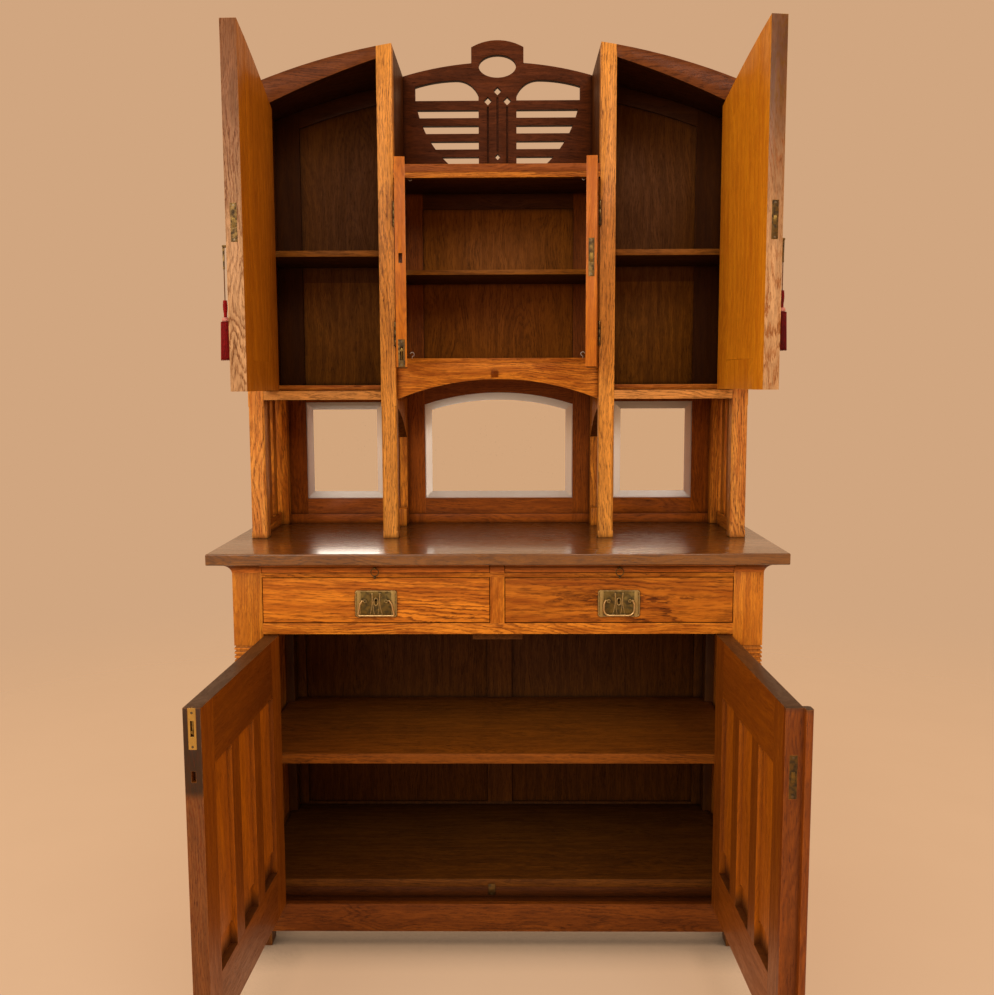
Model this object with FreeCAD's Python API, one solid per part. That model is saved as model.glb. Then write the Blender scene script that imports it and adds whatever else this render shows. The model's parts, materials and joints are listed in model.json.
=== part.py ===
import FreeCAD, Part
import math
import os
from FreeCAD import Vector

os.makedirs("parts", exist_ok=True)

# Millimetres. X runs to the viewer's right, Y to the back, Z up.
# The pieces are drawn about the middle of the lower carcase, on the floor.

# Overall
base_width = 1254.0
base_depth = 520.0
bench_height = 982.0
top_thickness = 27.0
top_overhang = 48.0
top_back_overhang = 10.0
top_edge_round = 3.0
overrun = 5.0
running_gap = 0.3
shut_gap = 1.5
upper_meeting_gap = 2.6
centre_meeting_gap = 1.2

# Lower carcase
stile_width = 70.0
stile_thickness = 45.0
rear_stile_size = 45.0
reed_count = 5
reed_pitch = 10.0
reed_width = 5.0
reed_depth = 3.0
reed_drop = 28.0
side_board_thickness = 22.0
side_board_inset = 6.0
side_top_rail = 150.0
side_bottom_rail = 110.0
side_muntin = 70.0
panel_thickness = 8.0
back_thickness = 20.0
back_stile = 70.0
back_muntin = 70.0
back_top_rail = 100.0
back_bottom_rail = 100.0
back_lift = 60.0
plinth_bottom = 37.0
plinth_height = 71.0
riser_height = 25.0
bottom_board_thickness = 20.0
board_setback = 38.0
shelf_thickness = 25.0
shelf_rise = 321.0
batten_size = 20.0

# Drawers and slides
drawer_rail_height = 26.0
drawer_opening_height = 111.0
slide_rail_height = 11.0
divider_width = 34.0
partition_thickness = 20.0
runner_thickness = 20.0
runner_width = 42.0
guide_height = 25.0
drawer_front_thickness = 22.0
drawer_side_thickness = 12.0
drawer_bottom_thickness = 6.0
drawer_bottom_lift = 10.0
drawer_side_drop = 16.0
drawer_back_gap = 38.0
drawer_front_bead = 1.2
cornice_height = 25.0
cornice_projection = 24.0
cornice_fillet = 4.0
slide_board_thickness = 18.0
slide_back_gap = 140.0
slide_lip_thickness = 18.0
slide_head_gap = 1.5

# Drawer handles
plate_width = 100.0
plate_height = 64.0
plate_thickness = 2.0
plate_lobe = 6.0
plate_rib_width = 5.0
plate_rib_height = 1.5
plate_rib_inset = 9.0
keyhole_radius = 2.6
keyhole_slot_width = 3.0
keyhole_slot_drop = 9.0
bail_pivot_spacing = 50.0
plate_centre_drop = 8.0
bail_post_radius = 4.5
bail_post_length = 9.0
bail_rod = 4.6
bail_pin_radius = 1.6
bail_pin_gap = 0.05
bail_drop = 38.0
bail_left_width = 90.0
bail_left_knee_width = 80.0
bail_left_corner = 3.0
bail_right_width = 76.0
bail_right_corner = 14.0
bail_knee_drop = 9.0
bail_knee_round = 5.0

# Slide pulls
pull_eye_outer = 3.5
pull_eye_bore = 1.7
pull_eye_thickness = 3.0
pull_stem_radius = 2.0
pull_ring_radius = 9.0
pull_drop_radius = 3.4
pull_wire = 2.4
pull_height_over_lip = 12.5
pull_reach = 14.0

# Doors, shared
hinge_knuckle = 3.8
knuckle_count = 3
hinge_pin = 1.6
hinge_pin_gap = 0.05
hinge_height = 60.0
hinge_leaf = 1.4
hinge_leaf_depth = 24.0
hinge_axis_stand = 4.0
hinge_segment_gap = 0.3
forend_height = 84.0
forend_width = 15.0
forend_thickness = 2.0
lock_bolt_height = 20.0
lock_bolt_width = 7.0
lock_bolt_length = 22.0
lock_bolt_throw = 9.0
lock_bolt_gap = 0.3
escutcheon_radius = 8.0
escutcheon_height = 26.0
escutcheon_thickness = 1.6
lock_backset = 28.0
flush_plate_width = 15.0
flush_plate_thickness = 2.0
flush_rod_radius = 3.2
flush_rod_gap = 0.3
flush_knob_radius = 3.0
flush_knob_length = 3.0
flush_throw = 12.0
keep_depth = 15.0
keep_plate_thickness = 1.6
keep_plate_width = 17.0
keep_tongue_drop = 6.0
keep_tongue_length = 20.0
keep_leaf_height = 16.0
plinth_keep_lift = 5.0
plinth_keep_height = 28.0
plinth_keep_offset = 16.5

# Lower doors
lower_door_thickness = 34.0
door_foot_gap = 2.0
lower_left_angle = 92.4
lower_right_angle = 91.6
lower_door_stile = 70.0
lower_door_top_rail = 130.0
lower_door_bottom_rail = 115.0
lower_door_muntin = 52.0
lower_panel_thickness = 14.0
lower_panel_setback = 9.0
lower_pocket_height = 55.0
lower_pocket_depth = 6.0
lower_pocket_round = 12.0
lower_lock_drop = 131.5
lower_hinge_inset = 80.0
flush_plate_height = 79.0
astragal_width = 26.0
astragal_thickness = 15.0
astragal_round = 6.0
door_stop_height = 22.0
door_stop_length = 120.0

# Upper unit
upper_setback = 202.0
outer_post_width = 39.0
inner_post_width = 38.0
post_depth = 40.0
centre_opening = 508.0
crest_well_height = 285.0
arch_fall = 106.0
post_chamfer = 5.0
chamfer_bottom_stop = 18.0
chamfer_top_gap = 17.0
wall_thickness = 20.0
niche_height = 351.0
under_rail_height = 22.0
under_rail_depth = 40.0
side_bottom_thickness = 14.0
side_shelf_rise = 336.0
side_shelf_thickness = 15.0
side_shelf_support = 12.0
shelf_support_length = 150.0
curved_top_thickness = 12.0
arch_rail_depth = 26.0
arch_rail_inner_height = 29.5
arch_rail_outer_height = 64.0
arch_rail_sagitta = 6.0
centre_rail_thickness = 20.0
centre_rail_crown = 50.0
centre_floor_rise = 103.0
centre_floor_thickness = 12.0
centre_cabinet_height = 438.0
centre_head_height = 13.0
centre_top_thickness = 20.0
centre_shelf_rise = 220.0
centre_shelf_thickness = 12.0

# Upper back, mirrors and niches
upper_back_outer_stile = 87.0
upper_back_inner_stile_reach = 47.0
niche_bottom_rail = 69.0
niche_sill_height = 25.0
niche_sill_depth = 10.0
side_mirror_head = 12.0
centre_mirror_end_drop = 19.0
centre_mirror_crown_drop = 36.0
back_top_rail_side = 42.0
back_top_rail_centre = 40.0
mirror_thickness = 6.0
mirror_bevel = 20.0
mirror_bevel_depth = 2.5
mirror_setback = 3.0
backing_thickness = 6.0
slat_count = 3
slat_width = 36.0
slat_thickness = 12.0
slat_rail_height = 34.0
rear_post_depth = 35.0
brace_front_drop = 23.0
brace_rear_drop = 108.0
brace_sagitta = 12.0
foot_block_height = 48.0
foot_block_depth = 42.0

# Upper side doors
upper_door_thickness = 37.0
upper_left_angle = 91.5
upper_right_angle = 98.5
upper_door_stile = 62.0
upper_door_rail = 70.0
upper_panel_thickness = 16.0
upper_lock_rise = 368.0
upper_lock_backset = 33.0
upper_hinge_inset = 70.0

# Centre doors
centre_door_thickness = 24.0
centre_door_lap = 26.0
centre_door_angle = 84.5
centre_door_stile = 48.0
centre_door_rail = 52.0
centre_panel_thickness = 10.0
centre_panel_setback = 7.0
centre_lock_rise = 242.0
centre_hinge_inset = 55.0
centre_plate_height = 62.0
centre_forend_width = 13.0

# Pendant pulls and tassels
pendant_stand = 16.0
pendant_drop_left = 47.0
pendant_drop_right = 37.0
pendant_length = 50.0
pendant_top_width = 5.0
pendant_waist_width = 3.2
pendant_thickness = 3.0
pendant_foot = 4.0
pendant_plate_height = 40.0
pendant_plate_width = 12.0
pendant_pin_radius = 1.2
pendant_pin_gap = 0.05
pendant_cheek = 2.0
cord_length_left = 69.0
cord_length_right = 62.0
cord_diameter = 2.6
tassel_neck_length = 38.0
tassel_neck_radius = 5.5
tassel_ring_height = 10.0
tassel_ring_radius = 8.5
tassel_skirt_length = 85.0
tassel_skirt_top = 10.5
tassel_skirt_bottom = 12.2

# Fretwork crest
crest_thickness = 20.0
crest_arch_rise = 33.0
crest_block_half_width = 70.0
crest_block_rise = 74.0
crest_block_crown = 18.0
oval_half_width = 50.0
oval_half_height = 29.5
oval_rise = 25.0
crest_panel_half_width = 51.0
crest_window_drop = 64.0
crest_window_reach = 222.0
crest_window_shoulder = 112.0
crest_window_outer_height = 36.0
crest_window_inner_height = 53.0
crest_window_corner = 40.0
crest_window_swell = 4.0
crest_slot_height = 21.0
crest_slot_pitch = 41.0
crest_slot_count = 4
crest_slot_first_drop = 24.0
crest_curve_centre_reach = -60.0
crest_curve_centre_rise = 43.0
crest_curve_radius = 284.0
diamond_half = 11.0
small_diamond_half = 8.0
diamond_high_rise = 25.0
diamond_low_drop = 1.0
diamond_foot_rise = 74.0
incised_spacing = 26.0
incised_width = 5.0
incised_depth = 4.0
incised_outer_drop = 16.0
incised_inner_rise = 8.0
incised_inner_foot = 88.0

# Places worked out from the sizes above
half_base = base_width / 2
front = -base_depth / 2
back = base_depth / 2
back_inner = back - back_thickness
opening_half = half_base - stile_width
rear_of_stile = front + stile_thickness
upper_front = front + upper_setback
post_back = upper_front + post_depth
centre_half = centre_opening / 2
inner_post_outer = centre_half + inner_post_width
outer_post_inner = half_base - outer_post_width
wall_inner = half_base - wall_thickness
inner_wall_outer = centre_half + wall_thickness

# Heights of the lower carcase
carcase_top = bench_height - top_thickness
slide_rail_top = carcase_top - cornice_height
drawer_opening_top = slide_rail_top - slide_rail_height
drawer_rail_top = drawer_opening_top - drawer_opening_height
drawer_rail_bottom = drawer_rail_top - drawer_rail_height
reed_top = drawer_rail_bottom - reed_drop
plinth_top = plinth_bottom + plinth_height
bottom_board_top = plinth_top + riser_height + bottom_board_thickness
shelf_top = bottom_board_top + shelf_rise
lower_door_bottom = plinth_top + door_foot_gap
lower_lock_centre = drawer_rail_bottom - shut_gap - lower_lock_drop

# Heights of the upper unit, stacked on the bench
niche_top = bench_height + niche_height
chamfer_top_stop = niche_top - chamfer_top_gap
under_rail_top = niche_top + under_rail_height
side_floor_top = under_rail_top + side_bottom_thickness
side_shelf_top = side_floor_top + side_shelf_rise
upper_door_bottom = under_rail_top + door_foot_gap
upper_lock_centre = upper_door_bottom + upper_lock_rise
centre_rail_apex = niche_top + centre_rail_crown
centre_floor_top = niche_top + centre_floor_rise
centre_shelf_top = centre_floor_top + centre_shelf_rise
centre_door_bottom = centre_floor_top - centre_door_lap
centre_lock_centre = centre_door_bottom + centre_lock_rise
centre_head_bottom = centre_floor_top + centre_cabinet_height
centre_top_bottom = centre_head_bottom + centre_head_height
centre_top = centre_top_bottom + centre_top_thickness
inner_post_top = centre_top + crest_well_height
outer_corner_top = inner_post_top - arch_fall
side_mirror_top = niche_top - side_mirror_head
centre_mirror_spring = niche_top - centre_mirror_end_drop
centre_mirror_apex = centre_rail_apex - centre_mirror_crown_drop
crest_window_bottom = inner_post_top - crest_window_drop
# Which side of a joint a hinge leaf sits on, and the way it faces
on_jamb = 1
on_door = -1

X = Vector(1, 0, 0)
Y = Vector(0, 1, 0)
Z = Vector(0, 0, 1)


def slab(x0, x1, y0, y1, z0, z1):
    """A board between three pairs of planes."""
    low = Vector(min(x0, x1), min(y0, y1), min(z0, z1))
    return Part.makeBox(abs(x1 - x0), abs(y1 - y0), abs(z1 - z0), low)


def mirrored(shape):
    """The same piece on the other side of the cabinet."""
    return shape.mirror(Vector(0, 0, 0), X)


def both(shape):
    return [shape, mirrored(shape)]


def rod(start, end, radius):
    along = end - start
    return Part.makeCylinder(radius, along.Length, start, along)


def polygon(points):
    return Part.makePolygon(points + points[:1])


def profile_xz(edges, y0, y1):
    """Extrude a closed outline of edges, drawn at y0, back to y1."""
    face = Part.Face(Part.Wire(edges))
    return face.extrude(Vector(0, y1 - y0, 0))


def line(a, b):
    return Part.LineSegment(a, b).toShape()


def arc(a, middle, b):
    return Part.Arc(a, middle, b).toShape()


def floor_middle():
    """Middle of the depth covered, from the open lower doors' front corner to the bench's back edge."""
    pivot = Vector(LOWER.axis_x, LOWER.axis_y, 0)
    corner = Vector(LOWER.free - (shut_gap + astragal_width) / 2, LOWER.face - running_gap, 0)
    swung = pivot + FreeCAD.Rotation(Z, lower_right_angle).multVec(corner - pivot)
    return (swung.y + back + top_back_overhang) / 2


def write(name, shapes):
    """One STEP file for one sub-part, which may be several like pieces, moved to the row's origin."""
    shape = shapes[0].copy() if len(shapes) == 1 else Part.makeCompound(shapes)
    shape.translate(Vector(0, -floor_middle(), 0))
    shape.exportStep("parts/" + name + ".step")


def without(shape, cutters):
    """The piece with pockets or notches taken out of it."""
    for cutter in cutters:
        shape = shape.cut(cutter)
    return shape


def top_arch():
    """Centre height and radius of the one circle that tops posts, walls and side cabinets."""
    rise = inner_post_top - outer_corner_top
    spread = half_base ** 2 - centre_half ** 2
    centre = (inner_post_top + outer_corner_top - spread / rise) / 2
    radius = math.hypot(centre_half, inner_post_top - centre)
    return centre, radius


arch_centre, arch_radius = top_arch()


def arch_height(x, drop=0.0):
    """Height of the top circle, or of one drawn drop inside it, at a distance from the axis."""
    return arch_centre + math.sqrt((arch_radius - drop) ** 2 - x ** 2)


def under_arch(shape, drop=0.0):
    """What is left of a piece under the top circle."""
    start = Vector(0, front - overrun, arch_centre)
    disc = Part.makeCylinder(arch_radius - drop, base_depth + 2 * overrun, start, Y)
    return shape.common(disc)


def over_arch(shape, drop):
    start = Vector(0, front - overrun, arch_centre)
    disc = Part.makeCylinder(arch_radius - drop, base_depth + 2 * overrun, start, Y)
    return shape.cut(disc)


# Bench top and cornice

def top_board():
    board = slab(-half_base - top_overhang, half_base + top_overhang, front - top_overhang,
                 back + top_back_overhang, carcase_top, bench_height)
    edges = []
    for edge in board.Edges:
        middle = edge.CenterOfMass
        horizontal = abs(edge.tangentAt(edge.FirstParameter).z) < top_edge_round / bench_height
        if horizontal and middle.y < back:
            edges.append(edge)
    return board.makeFillet(top_edge_round, edges)


def cove_outline(x, y, outward, height_top, height, projection):
    """Cavetto section: a fillet at the top, a hollow under it and nothing at the foot."""
    top_in = Vector(x, y, height_top)
    top_out = top_in + outward * projection
    fillet = top_out - Z * cornice_fillet
    foot = top_in - Z * height
    sag_share = 0.32
    middle = (fillet + foot) / 2 + (top_in - (fillet + foot) / 2) * sag_share
    edges = [line(top_in, top_out), line(top_out, fillet), arc(fillet, middle, foot), line(foot, top_in)]
    return Part.Face(Part.Wire(edges))


def cornice():
    side = cove_outline(half_base, front - cornice_projection, X, carcase_top, cornice_height,
                        cornice_projection)
    side = side.extrude(Y * (base_depth + cornice_projection))
    face = cove_outline(opening_half, front, -Y, carcase_top, cornice_height, cornice_projection)
    face = face.extrude(X * (stile_width + cornice_projection))
    corner = side.common(face)
    front_zone = slab(opening_half, half_base, front - cornice_projection, front, 0, bench_height)
    head = face.common(front_zone).fuse(corner).removeSplitter()
    side_zone = slab(half_base, half_base + cornice_projection, front, back, 0, bench_height)
    run = side.common(side_zone)
    half = divider_width / 2
    middle = cove_outline(-half, front, -Y, carcase_top, cornice_height, cornice_projection)
    return both(head) + both(run) + [middle.extrude(X * divider_width)]


# Lower carcase

def front_stile():
    stile = slab(opening_half, half_base, front, rear_of_stile, 0, carcase_top)
    cutters = []
    for index in range(reed_count):
        height = reed_top - index * reed_pitch
        groove = slab(opening_half - overrun, half_base + overrun, front - reed_depth, front + reed_depth,
                      height - reed_width, height)
        cutters.append(groove)
        groove = slab(half_base - reed_depth, half_base + overrun, front - overrun,
                      rear_of_stile + overrun, height - reed_width, height)
        cutters.append(groove)
    return without(stile, cutters + leaf(LOWER, on_jamb))


def rear_stile():
    return slab(half_base - rear_stile_size, half_base, back_inner - rear_stile_size, back_inner, 0, carcase_top)


def side_frame():
    """Rails, muntin and two panels between the front and rear stiles of one side."""
    outer = half_base - side_board_inset
    inner = outer - side_board_thickness
    y0 = rear_of_stile
    y1 = back_inner - rear_stile_size
    low = plinth_bottom + side_bottom_rail
    high = carcase_top - side_top_rail
    middle = (y0 + y1) / 2
    rails = [slab(inner, outer, y0, y1, high, carcase_top),
             slab(inner, outer, y0, y1, plinth_bottom, low),
             slab(inner, outer, middle - side_muntin / 2, middle + side_muntin / 2, low, high)]
    centre = (inner + outer) / 2
    panels = [slab(centre - panel_thickness / 2, centre + panel_thickness / 2, y0,
                   middle - side_muntin / 2, low, high),
              slab(centre - panel_thickness / 2, centre + panel_thickness / 2, middle + side_muntin / 2,
                   y1, low, high)]
    return rails + panels


def base_back():
    top = carcase_top
    low = back_lift + back_bottom_rail
    high = top - back_top_rail
    inner = half_base - back_stile
    half_muntin = back_muntin / 2
    pieces = both(slab(inner, half_base, back_inner, back, back_lift, top))
    pieces.append(slab(-half_muntin, half_muntin, back_inner, back, low, high))
    pieces.append(slab(-inner, inner, back_inner, back, high, top))
    pieces.append(slab(-inner, inner, back_inner, back, back_lift, low))
    middle = (back_inner + back) / 2
    pieces += both(slab(half_muntin, inner, middle - panel_thickness / 2, middle + panel_thickness / 2,
                        low, high))
    return pieces


side_inner = half_base - side_board_inset - side_board_thickness


def notched_board(top, thickness):
    """A board of the full inner width, notched round the four stiles."""
    board = slab(-side_inner, side_inner, front + board_setback, back_inner, top - thickness, top)
    posts = both(slab(opening_half, half_base, front, rear_of_stile, 0, carcase_top))
    posts += both(rear_stile())
    return without(board, posts)


def plinth():
    face = slab(-opening_half, opening_half, front, rear_of_stile, plinth_bottom, plinth_top)
    riser = slab(-opening_half, opening_half, front + board_setback, rear_of_stile + board_setback / 2,
                 plinth_top, bottom_board_top - bottom_board_thickness)
    return [face, riser]


def front_rails():
    """Rail under the drawers, and the thin rails that part drawers from slides."""
    half_divider = divider_width / 2
    rail = slab(-opening_half, opening_half, front, rear_of_stile, drawer_rail_bottom, drawer_rail_top)
    rail = without(rail, [bolt_keep(LOWER, drawer_rail_bottom - overrun, drawer_rail_bottom + keep_depth)])
    thin = slab(half_divider, opening_half, front, rear_of_stile, drawer_opening_top,
                slide_rail_top - slide_head_gap)
    return [rail] + both(thin)


def drawer_divider():
    half = divider_width / 2
    upright = slab(-half, half, front, rear_of_stile, drawer_rail_top, carcase_top)
    half_wall = partition_thickness / 2
    wall = slab(-half_wall, half_wall, rear_of_stile, back_inner, drawer_rail_top, carcase_top)
    return [upright, wall]


slide_board_bottom = slide_rail_top + slide_head_gap * 2


def runners():
    """Drawer runners, drawer guides and slide runners down both sides and the middle."""
    y0 = rear_of_stile
    y1 = back_inner - rear_stile_size
    reach = opening_half - runner_width / 2
    half = divider_width / 2
    half_wall = partition_thickness / 2
    top = drawer_rail_top
    slide_top = slide_board_bottom - running_gap
    pieces = both(slab(reach, side_inner, y0, y1, top - runner_thickness, top))
    pieces += both(slab(opening_half, side_inner, y0, y1, top, top + guide_height))
    pieces += both(slab(reach, side_inner, y0, y1, drawer_opening_top, slide_top))
    pieces.append(slab(-runner_width, runner_width, y0, back_inner, top - runner_thickness, top))
    pieces += both(slab(half_wall, half, y0, back_inner, top, top + guide_height))
    pieces += both(slab(half_wall, runner_width, y0, back_inner, drawer_opening_top, slide_top))
    return pieces


def stops_and_battens():
    """Shelf battens, the stop behind the door heads and the block on the plinth riser."""
    y0 = rear_of_stile
    y1 = back_inner - rear_stile_size
    under = shelf_top - shelf_thickness
    pieces = both(slab(side_inner - batten_size, side_inner, y0, y1, under - batten_size, under))
    stop_front = front + lower_door_thickness + shut_gap
    half = door_stop_length / 2
    pieces.append(slab(-half, half, stop_front, rear_of_stile, drawer_rail_bottom - door_stop_height,
                       drawer_rail_bottom))
    support = side_shelf_support
    end = post_back + shelf_support_length
    low = side_shelf_top - side_shelf_thickness
    pieces += both(slab(wall_inner - support, wall_inner, post_back, end, low - support, low))
    pieces += both(slab(inner_wall_outer, inner_wall_outer + support, post_back, end, low - support, low))
    low = centre_shelf_top - centre_shelf_thickness
    pieces += both(slab(centre_half - support, centre_half, post_back, end, low - support, low))
    return pieces


# Drawers, made for the right-hand opening and mirrored for the left

drawer_inner = divider_width / 2
drawer_middle = (drawer_inner + opening_half) / 2


def drawer_front():
    low = drawer_rail_top + shut_gap
    high = drawer_opening_top - shut_gap
    board = slab(drawer_inner + shut_gap, opening_half - shut_gap, front, front + drawer_front_thickness,
                 low, high)
    face = [edge for edge in board.Edges if abs(edge.CenterOfMass.y - front) < drawer_front_bead / 2]
    board = board.makeChamfer(drawer_front_bead, face)
    return without(board, keyway(front, drawer_front_thickness))


def drawer_box():
    """Two sides, a back and a bottom."""
    x0 = drawer_inner + shut_gap
    x1 = opening_half - shut_gap
    y0 = front + drawer_front_thickness
    y1 = back_inner - drawer_back_gap
    low = drawer_rail_top + running_gap
    high = drawer_opening_top - drawer_side_drop
    wall = drawer_side_thickness
    floor = low + drawer_bottom_lift
    sides = [slab(x0, x0 + wall, y0, y1, low, high), slab(x1 - wall, x1, y0, y1, low, high)]
    bottom = slab(x0 + wall, x1 - wall, y0, y1 - wall, floor, floor + drawer_bottom_thickness)
    rear = slab(x0 + wall, x1 - wall, y1 - wall, y1, floor, high)
    return sides + [bottom, rear]


def handle_pivot_height():
    return (drawer_rail_top + drawer_opening_top) / 2


def keyway(y0, depth):
    """Round hole and slot of a drawer's keyhole."""
    height = handle_pivot_height()
    hole = Part.makeCylinder(keyhole_radius, depth, Vector(drawer_middle, y0, height), Y)
    slot = slab(drawer_middle - keyhole_slot_width / 2, drawer_middle + keyhole_slot_width / 2, y0, y0 + depth,
                height - keyhole_slot_drop, height)
    return [hole, slot]


def plate_outline():
    """Half-lobed plate: a rectangle whose four corners carry small round lobes."""
    x0 = drawer_middle - plate_width / 2
    x1 = drawer_middle + plate_width / 2
    z0 = handle_pivot_height() - plate_centre_drop - plate_height / 2
    z1 = z0 + plate_height
    body = slab(x0 + plate_lobe, x1 - plate_lobe, front - plate_thickness, front, z0, z1)
    wide = slab(x0, x1, front - plate_thickness, front, z0 + 2 * plate_lobe, z1 - 2 * plate_lobe)
    shape = body.fuse(wide)
    for x in (x0 + plate_lobe, x1 - plate_lobe):
        for z in (z0 + plate_lobe, z1 - plate_lobe):
            lobe = Part.makeCylinder(plate_lobe, plate_thickness, Vector(x, front - plate_thickness, z), Y)
            shape = shape.fuse(lobe)
    for x in (x0 + plate_rib_inset, x1 - plate_rib_inset):
        rib = slab(x - plate_rib_width / 2, x + plate_rib_width / 2,
                   front - plate_thickness - plate_rib_height, front - plate_thickness, z0, z1)
        shape = shape.fuse(rib)
    return shape.removeSplitter()


bail_axis_y = front - plate_thickness - bail_post_length + bail_post_radius


def handle_plate():
    """Plate with a keyhole and two posts bored across for the bail's pins."""
    height = handle_pivot_height()
    shape = plate_outline()
    bore = Part.makeCylinder(bail_pin_radius + bail_pin_gap, plate_width,
                             Vector(drawer_middle - plate_width / 2, bail_axis_y, height), X)
    pieces = [without(shape, keyway(front - plate_thickness - overrun, plate_thickness + 2 * overrun))]
    for side in (-1, 1):
        x = drawer_middle + side * bail_pivot_spacing / 2
        base = Vector(x, front - plate_thickness, height)
        pieces.append(Part.makeCylinder(bail_post_radius, bail_post_length, base, -Y).cut(bore))
    return pieces


def rounded_path(points, rounds):
    """Straight runs joined by arcs, with one radius for each inner point."""
    edges = []
    start = points[0]
    for before, point, after, radius in zip(points, points[1:], points[2:], rounds):
        back_along = (before - point).normalize()
        on_along = (after - point).normalize()
        half_angle = back_along.getAngle(on_along) / 2
        first = point + back_along * (radius / math.tan(half_angle))
        last = point + on_along * (radius / math.tan(half_angle))
        inward = (back_along + on_along).normalize()
        middle = point + inward * (radius / math.sin(half_angle) - radius)
        edges += [line(start, first), arc(first, middle, last)]
        start = last
    edges.append(line(start, points[-1]))
    return Part.Wire(edges)


def bail(width, knee_width, corner):
    """A swinging bail: one bent rod with two arms, two knees and a bar, and a pin at each end."""
    height = handle_pivot_height()
    radius = bail_rod / 2
    shoulder = bail_pivot_spacing / 2 + bail_post_radius + radius + running_gap
    bottom = height - bail_drop + radius
    arms = []
    pins = []
    for side in (-1, 1):
        head = Vector(drawer_middle + side * shoulder, bail_axis_y, height)
        knee = Vector(drawer_middle + side * (knee_width / 2 - radius), bail_axis_y, height - bail_knee_drop)
        foot = Vector(drawer_middle + side * (width / 2 - radius), bail_axis_y, bottom)
        arms.append([head, knee, foot])
        pin_start = Vector(drawer_middle + side * (bail_pivot_spacing / 2 - bail_post_radius / 2), bail_axis_y,
                           height)
        pins += [rod(pin_start, head, bail_pin_radius), Part.makeSphere(radius, head)]
    left, right = arms
    path = rounded_path(left + right[::-1], (bail_knee_round, corner, corner, bail_knee_round))
    section = Part.Wire(Part.makeCircle(radius, left[0], left[1] - left[0]))
    return path.makePipeShell([section], True, True).fuse(pins).removeSplitter()


# Pull-out slides over the drawers

def slide_leaf():
    """Board, and the coved lip that carries the cornice line across its front."""
    x0 = drawer_inner + shut_gap
    x1 = opening_half - shut_gap
    lip_top = carcase_top - slide_head_gap
    lip_height = lip_top - slide_rail_top
    cove = cove_outline(x0, front, -Y, lip_top, lip_height, cornice_projection).extrude(X * (x1 - x0))
    lip = slab(x0, x1, front, front + slide_lip_thickness, slide_rail_top, lip_top)
    board = slab(x0, x1, front + slide_lip_thickness, back_inner - slide_back_gap, slide_board_bottom,
                 slide_board_bottom + slide_board_thickness)
    seat = Part.makeCylinder(pull_stem_radius, pull_reach, Vector(drawer_middle, front, pull_axis()[1]), -Y)
    return [cove.fuse(lip).removeSplitter().cut(seat), board]


def slide_staple():
    """Stem that stands in the lip's hollow, with the eye that the pull hangs in."""
    y, z = pull_axis()
    stem = rod(Vector(drawer_middle, front, z), Vector(drawer_middle, y + pull_eye_outer / 2, z),
               pull_stem_radius)
    start = Vector(drawer_middle - pull_eye_thickness / 2, y, z)
    eye = Part.makeCylinder(pull_eye_outer, pull_eye_thickness, start, X)
    bore = Part.makeCylinder(pull_eye_bore, pull_eye_thickness + 2 * overrun, start - X * overrun, X)
    return stem.fuse(eye).cut(bore).removeSplitter()


def pull_axis():
    """Back-to-front place and height of the axis that a slide's drop pull swings on."""
    return front - pull_reach - pull_eye_outer / 2, slide_rail_top + pull_height_over_lip


def slide_pull():
    """Ring that hangs in the eye, with a small drop under it."""
    y, z = pull_axis()
    wire = pull_wire / 2
    centre = Vector(drawer_middle, y, z - pull_ring_radius)
    ring = Part.makeTorus(pull_ring_radius, wire, centre, Y)
    drop = Part.makeSphere(pull_drop_radius,
                           Vector(drawer_middle, y, z - 2 * pull_ring_radius - pull_drop_radius))
    return ring.fuse(drop).removeSplitter()


# Doors
# Each set of doors is described once, for the right-hand door in its closed place.

class DoorPlace:
    """Where a right-hand door hangs when it is closed, and how far it stands open."""

    def __init__(self, jamb, meeting, face, thickness, bottom, top, hinge_inset, backset):
        self.jamb = jamb
        self.meeting = meeting
        self.face = face
        self.thickness = thickness
        self.bottom = bottom
        self.top = top
        self.hinge_inset = hinge_inset
        self.backset = backset
        toward = math.copysign(1, meeting - jamb)
        self.toward = toward
        self.edge = jamb + toward * shut_gap
        self.free = meeting
        self.axis_x = jamb + toward * shut_gap / 2
        self.axis_y = face - hinge_axis_stand

    def hinge_heights(self):
        return [self.bottom + self.hinge_inset, self.top - self.hinge_inset - hinge_height]


LOWER = DoorPlace(opening_half, shut_gap / 2, front, lower_door_thickness, lower_door_bottom,
                  drawer_rail_bottom - shut_gap, lower_hinge_inset, lock_backset)
UPPER = DoorPlace(outer_post_inner, inner_post_outer + upper_meeting_gap, upper_front, upper_door_thickness,
                  upper_door_bottom, arch_height(outer_post_inner) - arch_rail_outer_height,
                  upper_hinge_inset, upper_lock_backset)
CENTRE = DoorPlace(centre_half, centre_meeting_gap, upper_front, centre_door_thickness, centre_door_bottom,
                   centre_head_bottom - shut_gap, centre_hinge_inset, lock_backset)


def opened(shape, place, angle):
    """Swing a right-hand door's piece from its closed place to the angle it stands open at."""
    turned = shape.copy()
    turned.rotate(Vector(place.axis_x, place.axis_y, 0), Z, angle)
    return turned


def leaf(place, side):
    """One hinge's leaf at each height, set in the jamb or in the door's edge."""
    plane = place.jamb if side == on_jamb else place.edge
    x1 = plane - place.toward * side * hinge_leaf
    return [slab(plane, x1, place.face, place.face + hinge_leaf_depth, height, height + hinge_height)
            for height in place.hinge_heights()]


def knuckle_span(index, height, side):
    """Foot and top of one knuckle, the door's own a little short of the jamb's."""
    gap = hinge_segment_gap if side == on_door else 0
    segment = hinge_height / knuckle_count
    return height + index * segment + gap, height + (index + 1) * segment - gap


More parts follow.
